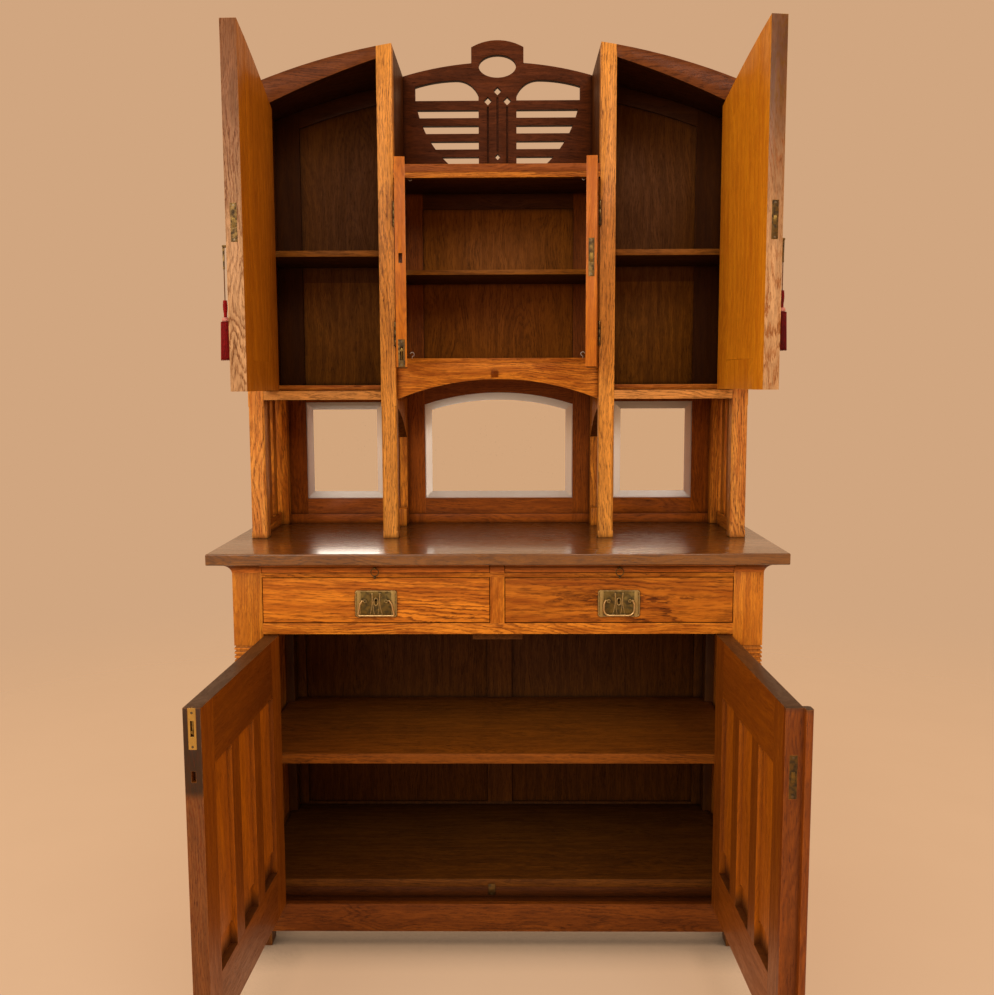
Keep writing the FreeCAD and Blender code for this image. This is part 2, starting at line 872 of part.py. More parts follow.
def hinge_set(place, side):
    """Leaves with their knuckles, which take turns from the jamb's at the foot and the top."""
    pieces = []
    plane = place.jamb if side == on_jamb else place.edge
    reach = plane - place.toward * side * hinge_leaf
    first = 0 if side == on_jamb else 1
    hole_radius = hinge_pin if side == on_jamb else hinge_pin + hinge_pin_gap
    for height, plate in zip(place.hinge_heights(), leaf(place, side)):
        for index in range(first, knuckle_count, 2):
            z0, z1 = knuckle_span(index, height, side)
            barrel = Part.makeCylinder(hinge_knuckle, z1 - z0, Vector(place.axis_x, place.axis_y, z0))
            tab = slab(plane, reach, place.axis_y, place.face, z0, z1)
            plate = plate.fuse([barrel, tab])
        hole = Part.makeCylinder(hole_radius, hinge_height, Vector(place.axis_x, place.axis_y, height))
        pieces.append(plate.cut(hole).removeSplitter())
    return pieces


def hinge_pins(place):
    pins = []
    for height in place.hinge_heights():
        pins.append(Part.makeCylinder(hinge_pin, hinge_height, Vector(place.axis_x, place.axis_y, height)))
    return pins


def lock_slot(place, centre, gap):
    """The space of a lock bolt, from inside the door's edge to its face, widened by gap."""
    middle = place.face + place.thickness / 2
    half_height = lock_bolt_height / 2 + gap
    half_width = lock_bolt_width / 2 + gap
    reach = lock_bolt_length + gap
    return slab(place.free, place.free - place.toward * reach, middle - half_width, middle + half_width,
                centre - half_height, centre + half_height)


def lock_bolt(place, centre):
    return lock_slot(place, centre, 0)


def forend(place, centre, width):
    """Brass plate let into the door's free edge round the lock bolt."""
    middle = place.face + place.thickness / 2
    plate = slab(place.free, place.free - place.toward * forend_thickness, middle - width / 2,
                 middle + width / 2, centre - forend_height / 2, centre + forend_height / 2)
    return plate.cut(lock_slot(place, centre, lock_bolt_gap))


def forend_pocket(place, centre, width):
    middle = place.face + place.thickness / 2
    return slab(place.free + place.toward * overrun, place.free - place.toward * forend_thickness,
                middle - width / 2, middle + width / 2, centre - forend_height / 2,
                centre + forend_height / 2)


def strike(place, centre, depth):
    """Pocket that a thrown lock bolt enters, beyond the door's free edge."""
    middle = place.face + place.thickness / 2
    half_height = lock_bolt_height / 2 + lock_bolt_gap * 2
    half_width = lock_bolt_width / 2 + lock_bolt_gap * 2
    return slab(place.free, place.free + place.toward * depth, middle - half_width, middle + half_width,
                centre - half_height, centre + half_height)


def escutcheon(place, centre):
    """Oval keyhole plate on the outer face, over the lock."""
    x = place.free - place.toward * place.backset
    y = place.face - escutcheon_thickness
    reach = escutcheon_height / 2 - escutcheon_radius
    shape = slab(x - escutcheon_radius, x + escutcheon_radius, y, place.face, centre - reach, centre + reach)
    for end in (-1, 1):
        shape = shape.fuse(Part.makeCylinder(escutcheon_radius, escutcheon_thickness,
                                             Vector(x, y, centre + end * reach), Y))
    hole = Part.makeCylinder(keyhole_radius, escutcheon_thickness + 2 * overrun,
                             Vector(x, y - overrun, centre), Y)
    slot = slab(x - keyhole_slot_width / 2, x + keyhole_slot_width / 2, y - overrun, place.face + overrun,
                centre - keyhole_slot_drop, centre)
    return without(shape, [hole, slot]).removeSplitter()


def flush_place(place):
    """Middle of the flush bolt's plate, seen from above."""
    inset = flush_plate_thickness + flush_rod_radius + flush_rod_gap * 2
    return Vector(place.free - place.toward * inset, place.face + place.thickness / 2, 0)


def flush_plate(place, low, high):
    middle = place.face + place.thickness / 2
    half = flush_plate_width / 2
    plate = slab(place.free, place.free - place.toward * flush_plate_thickness, middle - half, middle + half,
                 low, high)
    return plate.cut(flush_slot(place, low, high))


def flush_slot(place, low, high):
    """Slot in the plate along which the knob travels."""
    middle = place.face + place.thickness / 2
    half = flush_knob_radius + flush_rod_gap
    centre = (low + high) / 2
    reach = flush_throw + half
    return slab(place.free + place.toward * overrun, place.free - place.toward * flush_plate_thickness,
                middle - half, middle + half, centre - reach, centre + reach)


def flush_pocket(place, low, high, end_gap):
    """Room in the door's edge for the plate and, behind it, for the rod."""
    middle = place.face + place.thickness / 2
    half = flush_plate_width / 2
    recess = slab(place.free + place.toward * overrun, place.free - place.toward * flush_plate_thickness,
                  middle - half, middle + half, low, high)
    half = flush_rod_radius + flush_rod_gap
    depth = flush_plate_thickness + 2 * half
    channel = slab(place.free + place.toward * overrun, place.free - place.toward * depth, middle - half,
                   middle + half, low - end_gap[0], high + end_gap[1])
    return [recess, channel]


def flush_bolt(place, low, high, tip, direction):
    """Rod behind the plate with a thumb knob standing in the slot."""
    start = flush_place(place)
    centre = (low + high) / 2
    tail = centre - direction * flush_throw
    shape = rod(start + Z * tail, start + Z * tip, flush_rod_radius)
    knob_start = start + Z * (centre - direction * flush_throw / 2)
    knob_end = Vector(place.free + place.toward * flush_knob_length / 2, start.y, knob_start.z)
    return shape.fuse(rod(knob_start, knob_end, flush_knob_radius)).removeSplitter()


def bolt_keep(place, low, high):
    """Hole that the left-hand door's flush bolt enters once it is shut."""
    spot = flush_place(place)
    radius = flush_rod_radius + 2 * flush_rod_gap
    return Part.makeCylinder(radius, high - low, Vector(-spot.x, spot.y, low))


# Lower doors

def lower_panels_x():
    """The three panel openings across a lower door."""
    start = LOWER.free + lower_door_stile
    end = LOWER.edge - lower_door_stile
    width = (end - start - 2 * lower_door_muntin) / 3
    return [(start + index * (width + lower_door_muntin), start + index * (width + lower_door_muntin) + width)
            for index in range(3)]


def lower_door():
    """Stiles, rails, two muntins and three panels."""
    y0 = LOWER.face
    y1 = y0 + LOWER.thickness
    low = LOWER.bottom + lower_door_bottom_rail
    high = LOWER.top - lower_door_top_rail
    free_stile = slab(LOWER.free, LOWER.free + lower_door_stile, y0, y1, LOWER.bottom, LOWER.top)
    hinge_stile = slab(LOWER.edge - lower_door_stile, LOWER.edge, y0, y1, LOWER.bottom, LOWER.top)
    x0 = LOWER.free + lower_door_stile
    x1 = LOWER.edge - lower_door_stile
    rails = [slab(x0, x1, y0, y1, LOWER.bottom, low), slab(x0, x1, y0, y1, high, LOWER.top)]
    openings = lower_panels_x()
    muntins = [slab(openings[index][1], openings[index + 1][0], y0, y1, low, high) for index in range(2)]
    panel_y = y1 - lower_panel_setback - lower_panel_thickness
    panels = []
    for a, b in openings:
        panel = slab(a, b, panel_y, panel_y + lower_panel_thickness, low, high)
        pocket = slab(a, b, panel_y + lower_panel_thickness - lower_pocket_depth,
                      panel_y + lower_panel_thickness, low, low + lower_pocket_height)
        corners = [edge for edge in pocket.Edges
                   if abs(edge.CenterOfMass.z - low - lower_pocket_height) < lower_pocket_depth / 2
                   and abs(edge.tangentAt(edge.FirstParameter).y) > 1 / 2]
        panels.append(panel.cut(pocket.makeFillet(lower_pocket_round, corners)))
    return free_stile, hinge_stile, rails + muntins + panels


flush_low = drawer_rail_bottom - shut_gap - flush_plate_height
flush_high = drawer_rail_bottom - shut_gap


def lower_door_left():
    free_stile, hinge_stile, rest = lower_door()
    cutters = flush_pocket(LOWER, flush_low, flush_high, (0, overrun))
    cutters.append(strike(LOWER, lower_lock_centre, -lock_bolt_throw * 2))
    free_stile = without(free_stile, cutters)
    hinge_stile = without(hinge_stile, leaf(LOWER, on_door))
    return [free_stile, hinge_stile] + rest


def lower_door_right():
    free_stile, hinge_stile, rest = lower_door()
    pockets = [forend_pocket(LOWER, lower_lock_centre, forend_width),
               lock_slot(LOWER, lower_lock_centre, lock_bolt_gap)]
    free_stile = without(free_stile, pockets)
    hinge_stile = without(hinge_stile, leaf(LOWER, on_door))
    half = astragal_width / 2
    middle = LOWER.free - shut_gap / 2
    strip = slab(middle - half, middle + half, LOWER.face - astragal_thickness, LOWER.face - running_gap,
                 LOWER.bottom, LOWER.top)
    seat = slab(LOWER.free, middle + half, LOWER.face - running_gap, LOWER.face, LOWER.bottom, LOWER.top)
    long_edges = []
    for edge in strip.Edges:
        upright = abs(edge.tangentAt(edge.FirstParameter).z) > 1 - running_gap
        if upright and edge.CenterOfMass.y < LOWER.face - astragal_thickness / 2:
            long_edges.append(edge)
    strip = strip.makeFillet(astragal_round, long_edges).fuse(seat).removeSplitter()
    return [free_stile, hinge_stile, strip] + rest


# Upper side doors

def arch_rail_lower(shift=0.0):
    """Ends and middle of the curve under a side cabinet's arched rail."""
    outer = outer_post_inner
    inner = inner_post_outer
    outer_z = arch_height(outer) - arch_rail_outer_height - shift
    inner_z = arch_height(inner) - arch_rail_inner_height - shift
    middle = Vector((outer + inner) / 2, 0, (outer_z + inner_z) / 2 + arch_rail_sagitta)
    return Vector(outer, 0, outer_z), middle, Vector(inner, 0, inner_z)


def door_top_curve(shift):
    """Circle through the arched rail's lower curve, moved down by a gap: its centre and radius."""
    a, b, c = arch_rail_lower(shift)
    circle = arc(a, b, c).Curve
    return circle.Center, circle.Radius


def upper_door():
    """Frame with an arched head, and a panel that lies flush on the inside."""
    x0 = UPPER.free
    x1 = UPPER.edge
    y0 = UPPER.face
    y1 = y0 + UPPER.thickness
    low = UPPER.bottom
    centre, radius = door_top_curve(shut_gap)
    head = Part.makeCylinder(radius, UPPER.thickness, Vector(centre.x, y0, centre.z), Y)
    inner_head = Part.makeCylinder(radius - upper_door_rail, UPPER.thickness, Vector(centre.x, y0, centre.z), Y)
    tall = inner_post_top
    a = x0 + upper_door_stile
    b = x1 - upper_door_stile
    free_stile = slab(x0, a, y0, y1, low, tall).common(head)
    hinge_stile = slab(b, x1, y0, y1, low, tall).common(head)
    top_rail = slab(a, b, y0, y1, low + upper_door_rail, tall).common(head).cut(inner_head)
    bottom_rail = slab(a, b, y0, y1, low, low + upper_door_rail)
    panel = slab(a, b, y1 - upper_panel_thickness, y1, low + upper_door_rail, tall).common(inner_head)
    return free_stile, hinge_stile, [top_rail, bottom_rail, panel]


def upper_door_wood():
    free_stile, hinge_stile, rest = upper_door()
    pockets = [forend_pocket(UPPER, upper_lock_centre, forend_width),
               lock_slot(UPPER, upper_lock_centre, lock_bolt_gap)]
    free_stile = without(free_stile, pockets)
    hinge_stile = without(hinge_stile, leaf(UPPER, on_door))
    return [free_stile, hinge_stile] + rest


def pendant_centre(height):
    """Axis of a pendant pull at a height, with the door closed."""
    return Vector(UPPER.free - UPPER.toward * UPPER.backset, UPPER.face - pendant_stand, height)


def pendant_bracket(height):
    """Back plate, two arms and the pin that the pendant swings on."""
    spot = pendant_centre(height)
    half_w = pendant_plate_width / 2
    half_h = pendant_plate_height / 2
    plate = slab(spot.x - half_w, spot.x + half_w, UPPER.face - escutcheon_thickness, UPPER.face,
                 spot.z - half_h, spot.z + half_h)
    half = pendant_thickness / 2 + running_gap
    stem_height = pendant_top_width / 2
    shape = plate
    for side in (-1, 1):
        near = spot.x + side * half
        far = near + side * pendant_cheek
        arm = slab(near, far, spot.y, UPPER.face - escutcheon_thickness, spot.z - stem_height,
                   spot.z + stem_height)
        ear = Part.makeCylinder(stem_height, pendant_cheek, Vector(min(near, far), spot.y, spot.z), X)
        shape = shape.fuse([arm, ear])
    pin_half = half + pendant_cheek
    pin = Part.makeCylinder(pendant_pin_radius, 2 * pin_half, Vector(spot.x - pin_half, spot.y, spot.z), X)
    return shape.fuse(pin).removeSplitter()


def pendant(height):
    """Slim drop that swings on the pin and ends in a flat foot for the cord."""
    spot = pendant_centre(height)
    x0 = spot.x - pendant_thickness / 2
    half_top = pendant_top_width / 2 - running_gap
    half_waist = pendant_waist_width / 2
    half_foot = pendant_foot / 2
    low = spot.z - pendant_length
    knee = low + pendant_foot * 2
    points = [Vector(x0, spot.y - half_top, spot.z), Vector(x0, spot.y + half_top, spot.z),
              Vector(x0, spot.y + half_waist, knee), Vector(x0, spot.y + half_foot, low + half_foot),
              Vector(x0, spot.y + half_foot, low), Vector(x0, spot.y - half_foot, low),
              Vector(x0, spot.y - half_foot, low + half_foot), Vector(x0, spot.y - half_waist, knee)]
    body = Part.Face(polygon(points)).extrude(X * pendant_thickness)
    head = Part.makeCylinder(half_top, pendant_thickness, Vector(x0, spot.y, spot.z), X)
    bore = Part.makeCylinder(pendant_pin_radius + pendant_pin_gap, pendant_thickness + 2 * overrun,
                             Vector(x0 - overrun, spot.y, spot.z), X)
    return body.fuse(head).cut(bore).removeSplitter()


def tassel_top(height, cord_length):
    return pendant_centre(height) - Z * (pendant_length + cord_length)


def tassel_cord(height, cord_length):
    return Part.makeCylinder(cord_diameter / 2, cord_length, tassel_top(height, cord_length))


def tassel(height, cord_length):
    """Neck, ring and skirt as one turned form."""
    top = tassel_top(height, cord_length)
    neck = tassel_neck_radius
    z1 = top.z - tassel_neck_length
    z2 = z1 - tassel_ring_height
    z3 = z2 - tassel_skirt_length
    waist = (tassel_skirt_top + tassel_skirt_bottom) / 2
    share = 0.9
    points = [(0, top.z), (neck * share, top.z), (neck, z1), (tassel_ring_radius, z1 - tassel_ring_height / 4),
              (tassel_ring_radius, z2 + tassel_ring_height / 4), (tassel_skirt_top, z2),
              (waist, (z2 + z3) / 2), (tassel_skirt_bottom, z3), (0, z3)]
    outline = [Vector(top.x + radius, top.y, height) for radius, height in points]
    face = Part.Face(polygon(outline))
    return face.revolve(top, Z, 360)


# Centre doors

def centre_door():
    x0 = CENTRE.free
    x1 = CENTRE.edge
    y0 = CENTRE.face
    y1 = y0 + CENTRE.thickness
    a = x0 + centre_door_stile
    b = x1 - centre_door_stile
    low = CENTRE.bottom + centre_door_rail
    high = CENTRE.top - centre_door_rail
    free_stile = slab(x0, a, y0, y1, CENTRE.bottom, CENTRE.top)
    hinge_stile = slab(b, x1, y0, y1, CENTRE.bottom, CENTRE.top)
    rails = [slab(a, b, y0, y1, CENTRE.bottom, low), slab(a, b, y0, y1, high, CENTRE.top)]
    panel_y = y0 + centre_panel_setback
    panel = slab(a, b, panel_y, panel_y + centre_panel_thickness, low, high)
    return free_stile, hinge_stile, rails + [panel]


centre_flush_low = centre_door_bottom
centre_flush_high = centre_door_bottom + centre_plate_height


def centre_door_left():
    free_stile, hinge_stile, rest = centre_door()
    cutters = flush_pocket(CENTRE, centre_flush_low, centre_flush_high, (overrun, 0))
    cutters.append(strike(CENTRE, centre_lock_centre, -lock_bolt_throw * 2))
    free_stile = without(free_stile, cutters)
    hinge_stile = without(hinge_stile, leaf(CENTRE, on_door))
    return [free_stile, hinge_stile] + rest


def centre_door_right():
    free_stile, hinge_stile, rest = centre_door()
    pockets = [forend_pocket(CENTRE, centre_lock_centre, centre_forend_width),
               lock_slot(CENTRE, centre_lock_centre, lock_bolt_gap)]
    free_stile = without(free_stile, pockets)
    hinge_stile = without(hinge_stile, leaf(CENTRE, on_door))
    return [free_stile, hinge_stile] + rest


# Upper unit

def chamfered(post, x_edges):
    """Stopped chamfers on the front arrises, between the bench and the cabinets."""
    low = bench_height + chamfer_bottom_stop
    for x, outward in x_edges:
        corner = [Vector(x, upper_front, low), Vector(x - outward * post_chamfer, upper_front, low),
                  Vector(x, upper_front + post_chamfer, low)]
        prism = Part.Face(polygon(corner)).extrude(Z * (chamfer_top_stop - low))
        post = post.cut(prism)
    return post


def outer_post():
    post = slab(outer_post_inner, half_base, upper_front, post_back, bench_height, inner_post_top)
    post = chamfered(under_arch(post), [(outer_post_inner, -1), (half_base, 1)])
    return without(post, leaf(UPPER, on_jamb))


def inner_post():
    post = slab(centre_half, inner_post_outer, upper_front, post_back, bench_height,
                inner_post_top)
    post = chamfered(under_arch(post), [(centre_half, -1), (inner_post_outer, 1)])
    pockets = leaf(CENTRE, on_jamb)
    pockets.append(strike(UPPER, upper_lock_centre, lock_bolt_throw * 2))
    return without(post, pockets)


def upper_walls():
    outer = slab(wall_inner, half_base, post_back, back_inner, niche_top, inner_post_top)
    inner = slab(centre_half, inner_wall_outer, post_back, back_inner, niche_top,
                 inner_post_top)
    return both(under_arch(outer)) + both(under_arch(inner))


def side_arch_rail():
    """Front rail under the arched top, its lower edge a flatter curve."""
    a, b, c = arch_rail_lower()
    shift = Vector(0, upper_front, 0)
    foot = Vector(c.x, upper_front, side_floor_top)
    far_foot = Vector(a.x, upper_front, side_floor_top)
    opening = [arc(a + shift, b + shift, c + shift), line(c + shift, foot), line(foot, far_foot),
               line(far_foot, a + shift)]
    hollow = profile_xz(opening, upper_front, upper_front + arch_rail_depth)
    block = slab(inner_post_outer, outer_post_inner, upper_front, upper_front + arch_rail_depth,
                 side_floor_top, inner_post_top)
    return under_arch(block).cut(hollow)


def curved_top():
    """Bent board that roofs a side cabinet."""
    board = slab(inner_wall_outer, wall_inner, upper_front + arch_rail_depth, back_inner, niche_top,
                 inner_post_top)
    board = over_arch(under_arch(board), curved_top_thickness)
    posts = [slab(centre_half, inner_post_outer, upper_front, post_back, bench_height, inner_post_top),
             slab(outer_post_inner, half_base, upper_front, post_back, bench_height, inner_post_top)]
    return without(board, posts)


def side_under_rail():
    return slab(inner_post_outer, outer_post_inner, upper_front, upper_front + under_rail_depth, niche_top,
                under_rail_top)


def side_board(top, thickness):
    """Floor or shelf of a side cabinet, notched round the posts."""
    board = slab(inner_wall_outer, wall_inner, upper_front + UPPER.thickness + shut_gap, back_inner,
                 top - thickness, top)
    posts = [slab(centre_half, inner_post_outer, upper_front, post_back, bench_height, inner_post_top),
             slab(outer_post_inner, half_base, upper_front, post_back, bench_height, inner_post_top)]
    return without(board, posts)


def centre_arched_rail():
    """Arched rail over the middle niche, set back as a stop for the doors, and the strip over them."""
    y0 = upper_front + CENTRE.thickness + shut_gap
    y1 = y0 + centre_rail_thickness
    half = centre_half
    centre_rail_top = centre_floor_top - centre_floor_thickness
    left_end = Vector(-half, y0, niche_top)
    apex = Vector(0, y0, centre_rail_apex)
    right_end = Vector(half, y0, niche_top)
    top_right = Vector(half, y0, centre_rail_top)
    top_left = Vector(-half, y0, centre_rail_top)
    edges = [arc(left_end, apex, right_end), line(right_end, top_right), line(top_right, top_left),
             line(top_left, left_end)]
    rail = profile_xz(edges, y0, y1)
    head = slab(-half, half, upper_front, y0, centre_head_bottom, centre_top_bottom)
    return [rail, head]


def keeps():
    """Angle that catches the middle door's flush bolt, and the flat keep on the plinth riser."""
    spot = flush_place(CENTRE)
    wall = upper_front + CENTRE.thickness + shut_gap
    top = CENTRE.bottom - keep_tongue_drop
    x0 = -spot.x - keep_plate_width / 2
    x1 = -spot.x + keep_plate_width / 2
    tongue = slab(x0, x1, wall - keep_tongue_length, wall, top - keep_plate_thickness, top)
    tongue = tongue.cut(bolt_keep(CENTRE, top - keep_depth, top + keep_depth))
    leg = slab(x0, x1, wall - keep_plate_thickness, wall, top - keep_leaf_height, top)
    riser = front + board_setback
    plate = slab(-plinth_keep_offset - keep_plate_width / 2, -plinth_keep_offset + keep_plate_width / 2,
                 riser - keep_plate_thickness, riser, plinth_top + plinth_keep_lift,
                 plinth_top + plinth_keep_lift + plinth_keep_height)
    return [tongue.fuse(leg).removeSplitter(), plate]


def centre_board(top, thickness, setback):
    return slab(-centre_half, centre_half, upper_front + setback, back_inner, top - thickness, top)


def centre_boards():
    """Floor and top board of the middle cabinet."""
    setback = CENTRE.thickness + shut_gap
    return [centre_board(centre_floor_top, centre_floor_thickness, setback),
            centre_board(centre_top, centre_top_thickness, 0)]


# Upper back

inner_stile_inner = centre_half - upper_back_inner_stile_reach
inner_stile_outer = inner_wall_outer + upper_back_inner_stile_reach
outer_stile_inner = half_base - upper_back_outer_stile
niche_rail_top = bench_height + niche_bottom_rail


def arched_opening(y0, y1, spring, apex, floor):
    """The solid that fills the middle mirror's opening."""
    half = inner_stile_inner
    left = Vector(-half, y0, spring)
    top = Vector(0, y0, apex)
    right = Vector(half, y0, spring)
    low_right = Vector(half, y0, floor)
    low_left = Vector(-half, y0, floor)
    edges = [arc(left, top, right), line(right, low_right), line(low_right, low_left), line(low_left, left)]
    return profile_xz(edges, y0, y1)


def upper_back_frame():
    """Stiles, rails and sills of the whole upper back, with openings for mirrors and panels."""
    y0 = back_inner
    y1 = back
    pieces = both(under_arch(slab(outer_stile_inner, half_base, y0, y1, bench_height, inner_post_top)))
    stile = slab(inner_stile_inner, inner_stile_outer, y0, y1, bench_height, centre_top)
    stile = stile.fuse(slab(centre_half, inner_stile_outer, y0, y1, centre_top, inner_post_top))
    pieces += both(under_arch(stile).removeSplitter())
    pieces.append(slab(-inner_stile_inner, inner_stile_inner, y0, y1, bench_height, niche_rail_top))
    pieces += both(slab(inner_stile_outer, outer_stile_inner, y0, y1, bench_height, niche_rail_top))
    middle = slab(-inner_stile_inner, inner_stile_inner, y0, y1, niche_rail_top, centre_floor_top)
    pieces.append(middle.cut(arched_opening(y0 - overrun, y1 + overrun, centre_mirror_spring,
                                            centre_mirror_apex, bench_height)))
    pieces += both(slab(inner_stile_outer, outer_stile_inner, y0, y1, side_mirror_top, side_floor_top))
    pieces.append(slab(-inner_stile_inner, inner_stile_inner, y0, y1,
                       centre_top_bottom - back_top_rail_centre, centre_top))
    drop = curved_top_thickness + back_top_rail_side
    head = over_arch(under_arch(slab(inner_stile_outer, outer_stile_inner, y0, y1, niche_top,
                                     inner_post_top)), drop)
    pieces += both(head)
    sill_y = y0 - niche_sill_depth
    pieces.append(slab(-centre_half, centre_half, sill_y, y0, bench_height, bench_height + niche_sill_height))
    pieces += both(slab(inner_wall_outer, outer_post_inner, sill_y, y0, bench_height,
                        bench_height + niche_sill_height))
    return pieces


def upper_back_panels():
    """Thin cabinet backs, and the boards behind the mirrors."""
    middle = (back_inner + back) / 2
    y0 = middle - panel_thickness / 2
    y1 = middle + panel_thickness / 2
    drop = curved_top_thickness + back_top_rail_side
    side = slab(inner_stile_outer, outer_stile_inner, y0, y1, side_floor_top, inner_post_top)
    pieces = both(under_arch(side, drop))
    pieces.append(slab(-inner_stile_inner, inner_stile_inner, y0, y1, centre_floor_top,
                       centre_top_bottom - back_top_rail_centre))
    y0 = back_inner + mirror_setback + mirror_thickness
    y1 = y0 + backing_thickness
    pieces += both(slab(inner_stile_outer, outer_stile_inner, y0, y1, niche_rail_top, side_mirror_top))
    pieces.append(arched_opening(y0, y1, centre_mirror_spring, centre_mirror_apex, niche_rail_top))
    return pieces


def front_face(plate, y0):
    """The face of a plate that lies wholly on its front plane."""
    return [face for face in plate.Faces if face.BoundBox.YMax - y0 < mirror_thickness / 2][0]


def bevelled(plate, y0):
    """The plate again with its front rim bevelled, wide across the face and shallow at the edge."""
    rim = front_face(plate, y0).OuterWire
    low = rim.copy()
    low.translate(Vector(0, mirror_bevel_depth, 0))
    skin = Part.makeLoft([low, rim.makeOffset2D(-mirror_bevel)], True, True)
    body = Part.Face(low).extrude(Vector(0, mirror_thickness - mirror_bevel_depth, 0))
    return body.fuse(skin).removeSplitter()


def mirrors():
    """Three bevelled plates, the middle one arched."""
    y0 = back_inner + mirror_setback
    y1 = y0 + mirror_thickness
    side = slab(inner_stile_outer, outer_stile_inner, y0, y1, niche_rail_top, side_mirror_top)
    middle = arched_opening(y0, y1, centre_mirror_spring, centre_mirror_apex, niche_rail_top)
    return both(bevelled(side, y0)) + [bevelled(middle, y0)]


def niche_sides():
    """Open slatted ends with their rear posts and rails, and the braces under the inner walls."""
    y0 = post_back
    rear = back_inner - rear_post_depth
    outer = half_base
    rail_top = bench_height + slat_rail_height
    pieces = both(slab(outer_post_inner, outer, rear, back_inner, bench_height, niche_top))
    rail_inner = outer - wall_thickness
    pieces += both(slab(rail_inner, outer, y0, rear, bench_height, rail_top))
    middle = outer - wall_thickness / 2
    gap = (rear - y0 - slat_count * slat_width) / (slat_count + 1)
    for index in range(slat_count):
        start = y0 + gap + index * (slat_width + gap)
        pieces += both(slab(middle - slat_thickness / 2, middle + slat_thickness / 2, start,
                            start + slat_width, rail_top, niche_top))
    pieces += both(slab(centre_half, inner_wall_outer, rear, back_inner, bench_height, niche_top))
    pieces += both(foot_block())
    pieces += both(brace())
    return pieces


def foot_block():
    """Low block in front of the rear stile under each inner wall."""
    rear = back_inner - rear_post_depth
    return slab(centre_half, inner_wall_outer, rear - foot_block_depth, rear, bench_height,
                bench_height + foot_block_height)


def brace():
    """Curved brace from the inner post back and down to the rear stile."""
    x = centre_half
    rear = back_inner - rear_post_depth
    start = Vector(x, post_back, niche_top - brace_front_drop)
    end = Vector(x, rear, niche_top - brace_rear_drop)
    middle = (start + end) / 2 + Z * brace_sagitta
    top_rear = Vector(x, rear, niche_top)
    top_front = Vector(x, post_back, niche_top)
    edges = [arc(start, middle, end), line(end, top_rear), line(top_rear, top_front), line(top_front, start)]
    return Part.Face(Part.Wire(edges)).extrude(X * wall_thickness)


# Fretwork crest

def prism(points, y0, depth):
    """A closed outline of X and Z points, drilled back through the crest."""
    wire = polygon([Vector(x, y0, z) for x, z in points])
    return Part.Face(wire).extrude(Y * depth)


def crest_blank(y0):
    """Arched board with the raised block in the middle."""
    half = centre_half
    block = crest_block_half_width
    end_z = inner_post_top
    mid_z = inner_post_top + crest_arch_rise
    spread = (half ** 2 - block ** 2) / crest_arch_rise
    centre = (end_z + mid_z - spread) / 2
    radius = math.hypot(half, end_z - centre)
    middle_x = (half + block) / 2
    middle_z = centre + math.sqrt(radius ** 2 - middle_x ** 2)
    p0 = Vector(-half, y0, centre_top)
    p1 = Vector(-half, y0, end_z)
    p2 = Vector(-block, y0, mid_z)
    corner = inner_post_top + crest_block_rise
    p3 = Vector(-block, y0, corner)
    p4 = Vector(block, y0, corner)
    p5 = Vector(block, y0, mid_z)
    p6 = Vector(half, y0, end_z)
    p7 = Vector(half, y0, centre_top)
    edges = [line(p0, p1), arc(p1, Vector(-middle_x, y0, middle_z), p2), line(p2, p3),
             arc(p3, Vector(0, y0, corner + crest_block_crown), p4), line(p4, p5),
             arc(p5, Vector(middle_x, y0, middle_z), p6), line(p6, p7), line(p7, p0)]
    return profile_xz(edges, y0, y0 + crest_thickness)


def curve_reach(z):
    """How far from the axis the ends of the slots lie at a height."""
    depth = crest_window_bottom + crest_curve_centre_rise - z
    return crest_curve_centre_reach + math.sqrt(crest_curve_radius ** 2 - depth ** 2)


def crest_slot(y0, index):
    top = crest_window_bottom - crest_slot_first_drop - index * crest_slot_pitch
    low = top - crest_slot_height
    points = [(crest_panel_half_width, top), (curve_reach(top), top), (curve_reach(low), low),
              (crest_panel_half_width, low)]
    return prism(points, y0 - overrun, crest_thickness + 2 * overrun)


def crest_window(y0):
    """Opening beside the middle panel: flat foot, arched head, and a turned-in corner by the panel."""
    inner = crest_panel_half_width
    corner = crest_window_corner
    start = y0 - overrun
    outer_top = crest_window_bottom + crest_window_outer_height
    inner_top = crest_window_bottom + crest_window_inner_height
    a = Vector(inner, start, crest_window_bottom)
    b = Vector(crest_window_reach, start, crest_window_bottom)
    c = Vector(crest_window_reach, start, outer_top)
    d = Vector(crest_window_shoulder, start, inner_top)
    mid = (c + d) / 2 + Z * crest_window_swell
    e = Vector(inner, start, inner_top - corner)
    bend = Vector(inner + corner / 2, start, inner_top - corner / 3)
    edges = [line(a, b), line(b, c), arc(c, mid, d), arc(d, bend, e), line(e, a)]
    return profile_xz(edges, start, y0 + crest_thickness + overrun)


def diamond(y0, x, z, half):
    points = [(x, z - half), (x + half, z), (x, z + half), (x - half, z)]
    return prism(points, y0 - overrun, crest_thickness + 2 * overrun)


def incised_line(y0, x, low, high):
    half = incised_width / 2
    return slab(x - half, x + half, y0 - overrun, y0 + incised_depth, low, high)


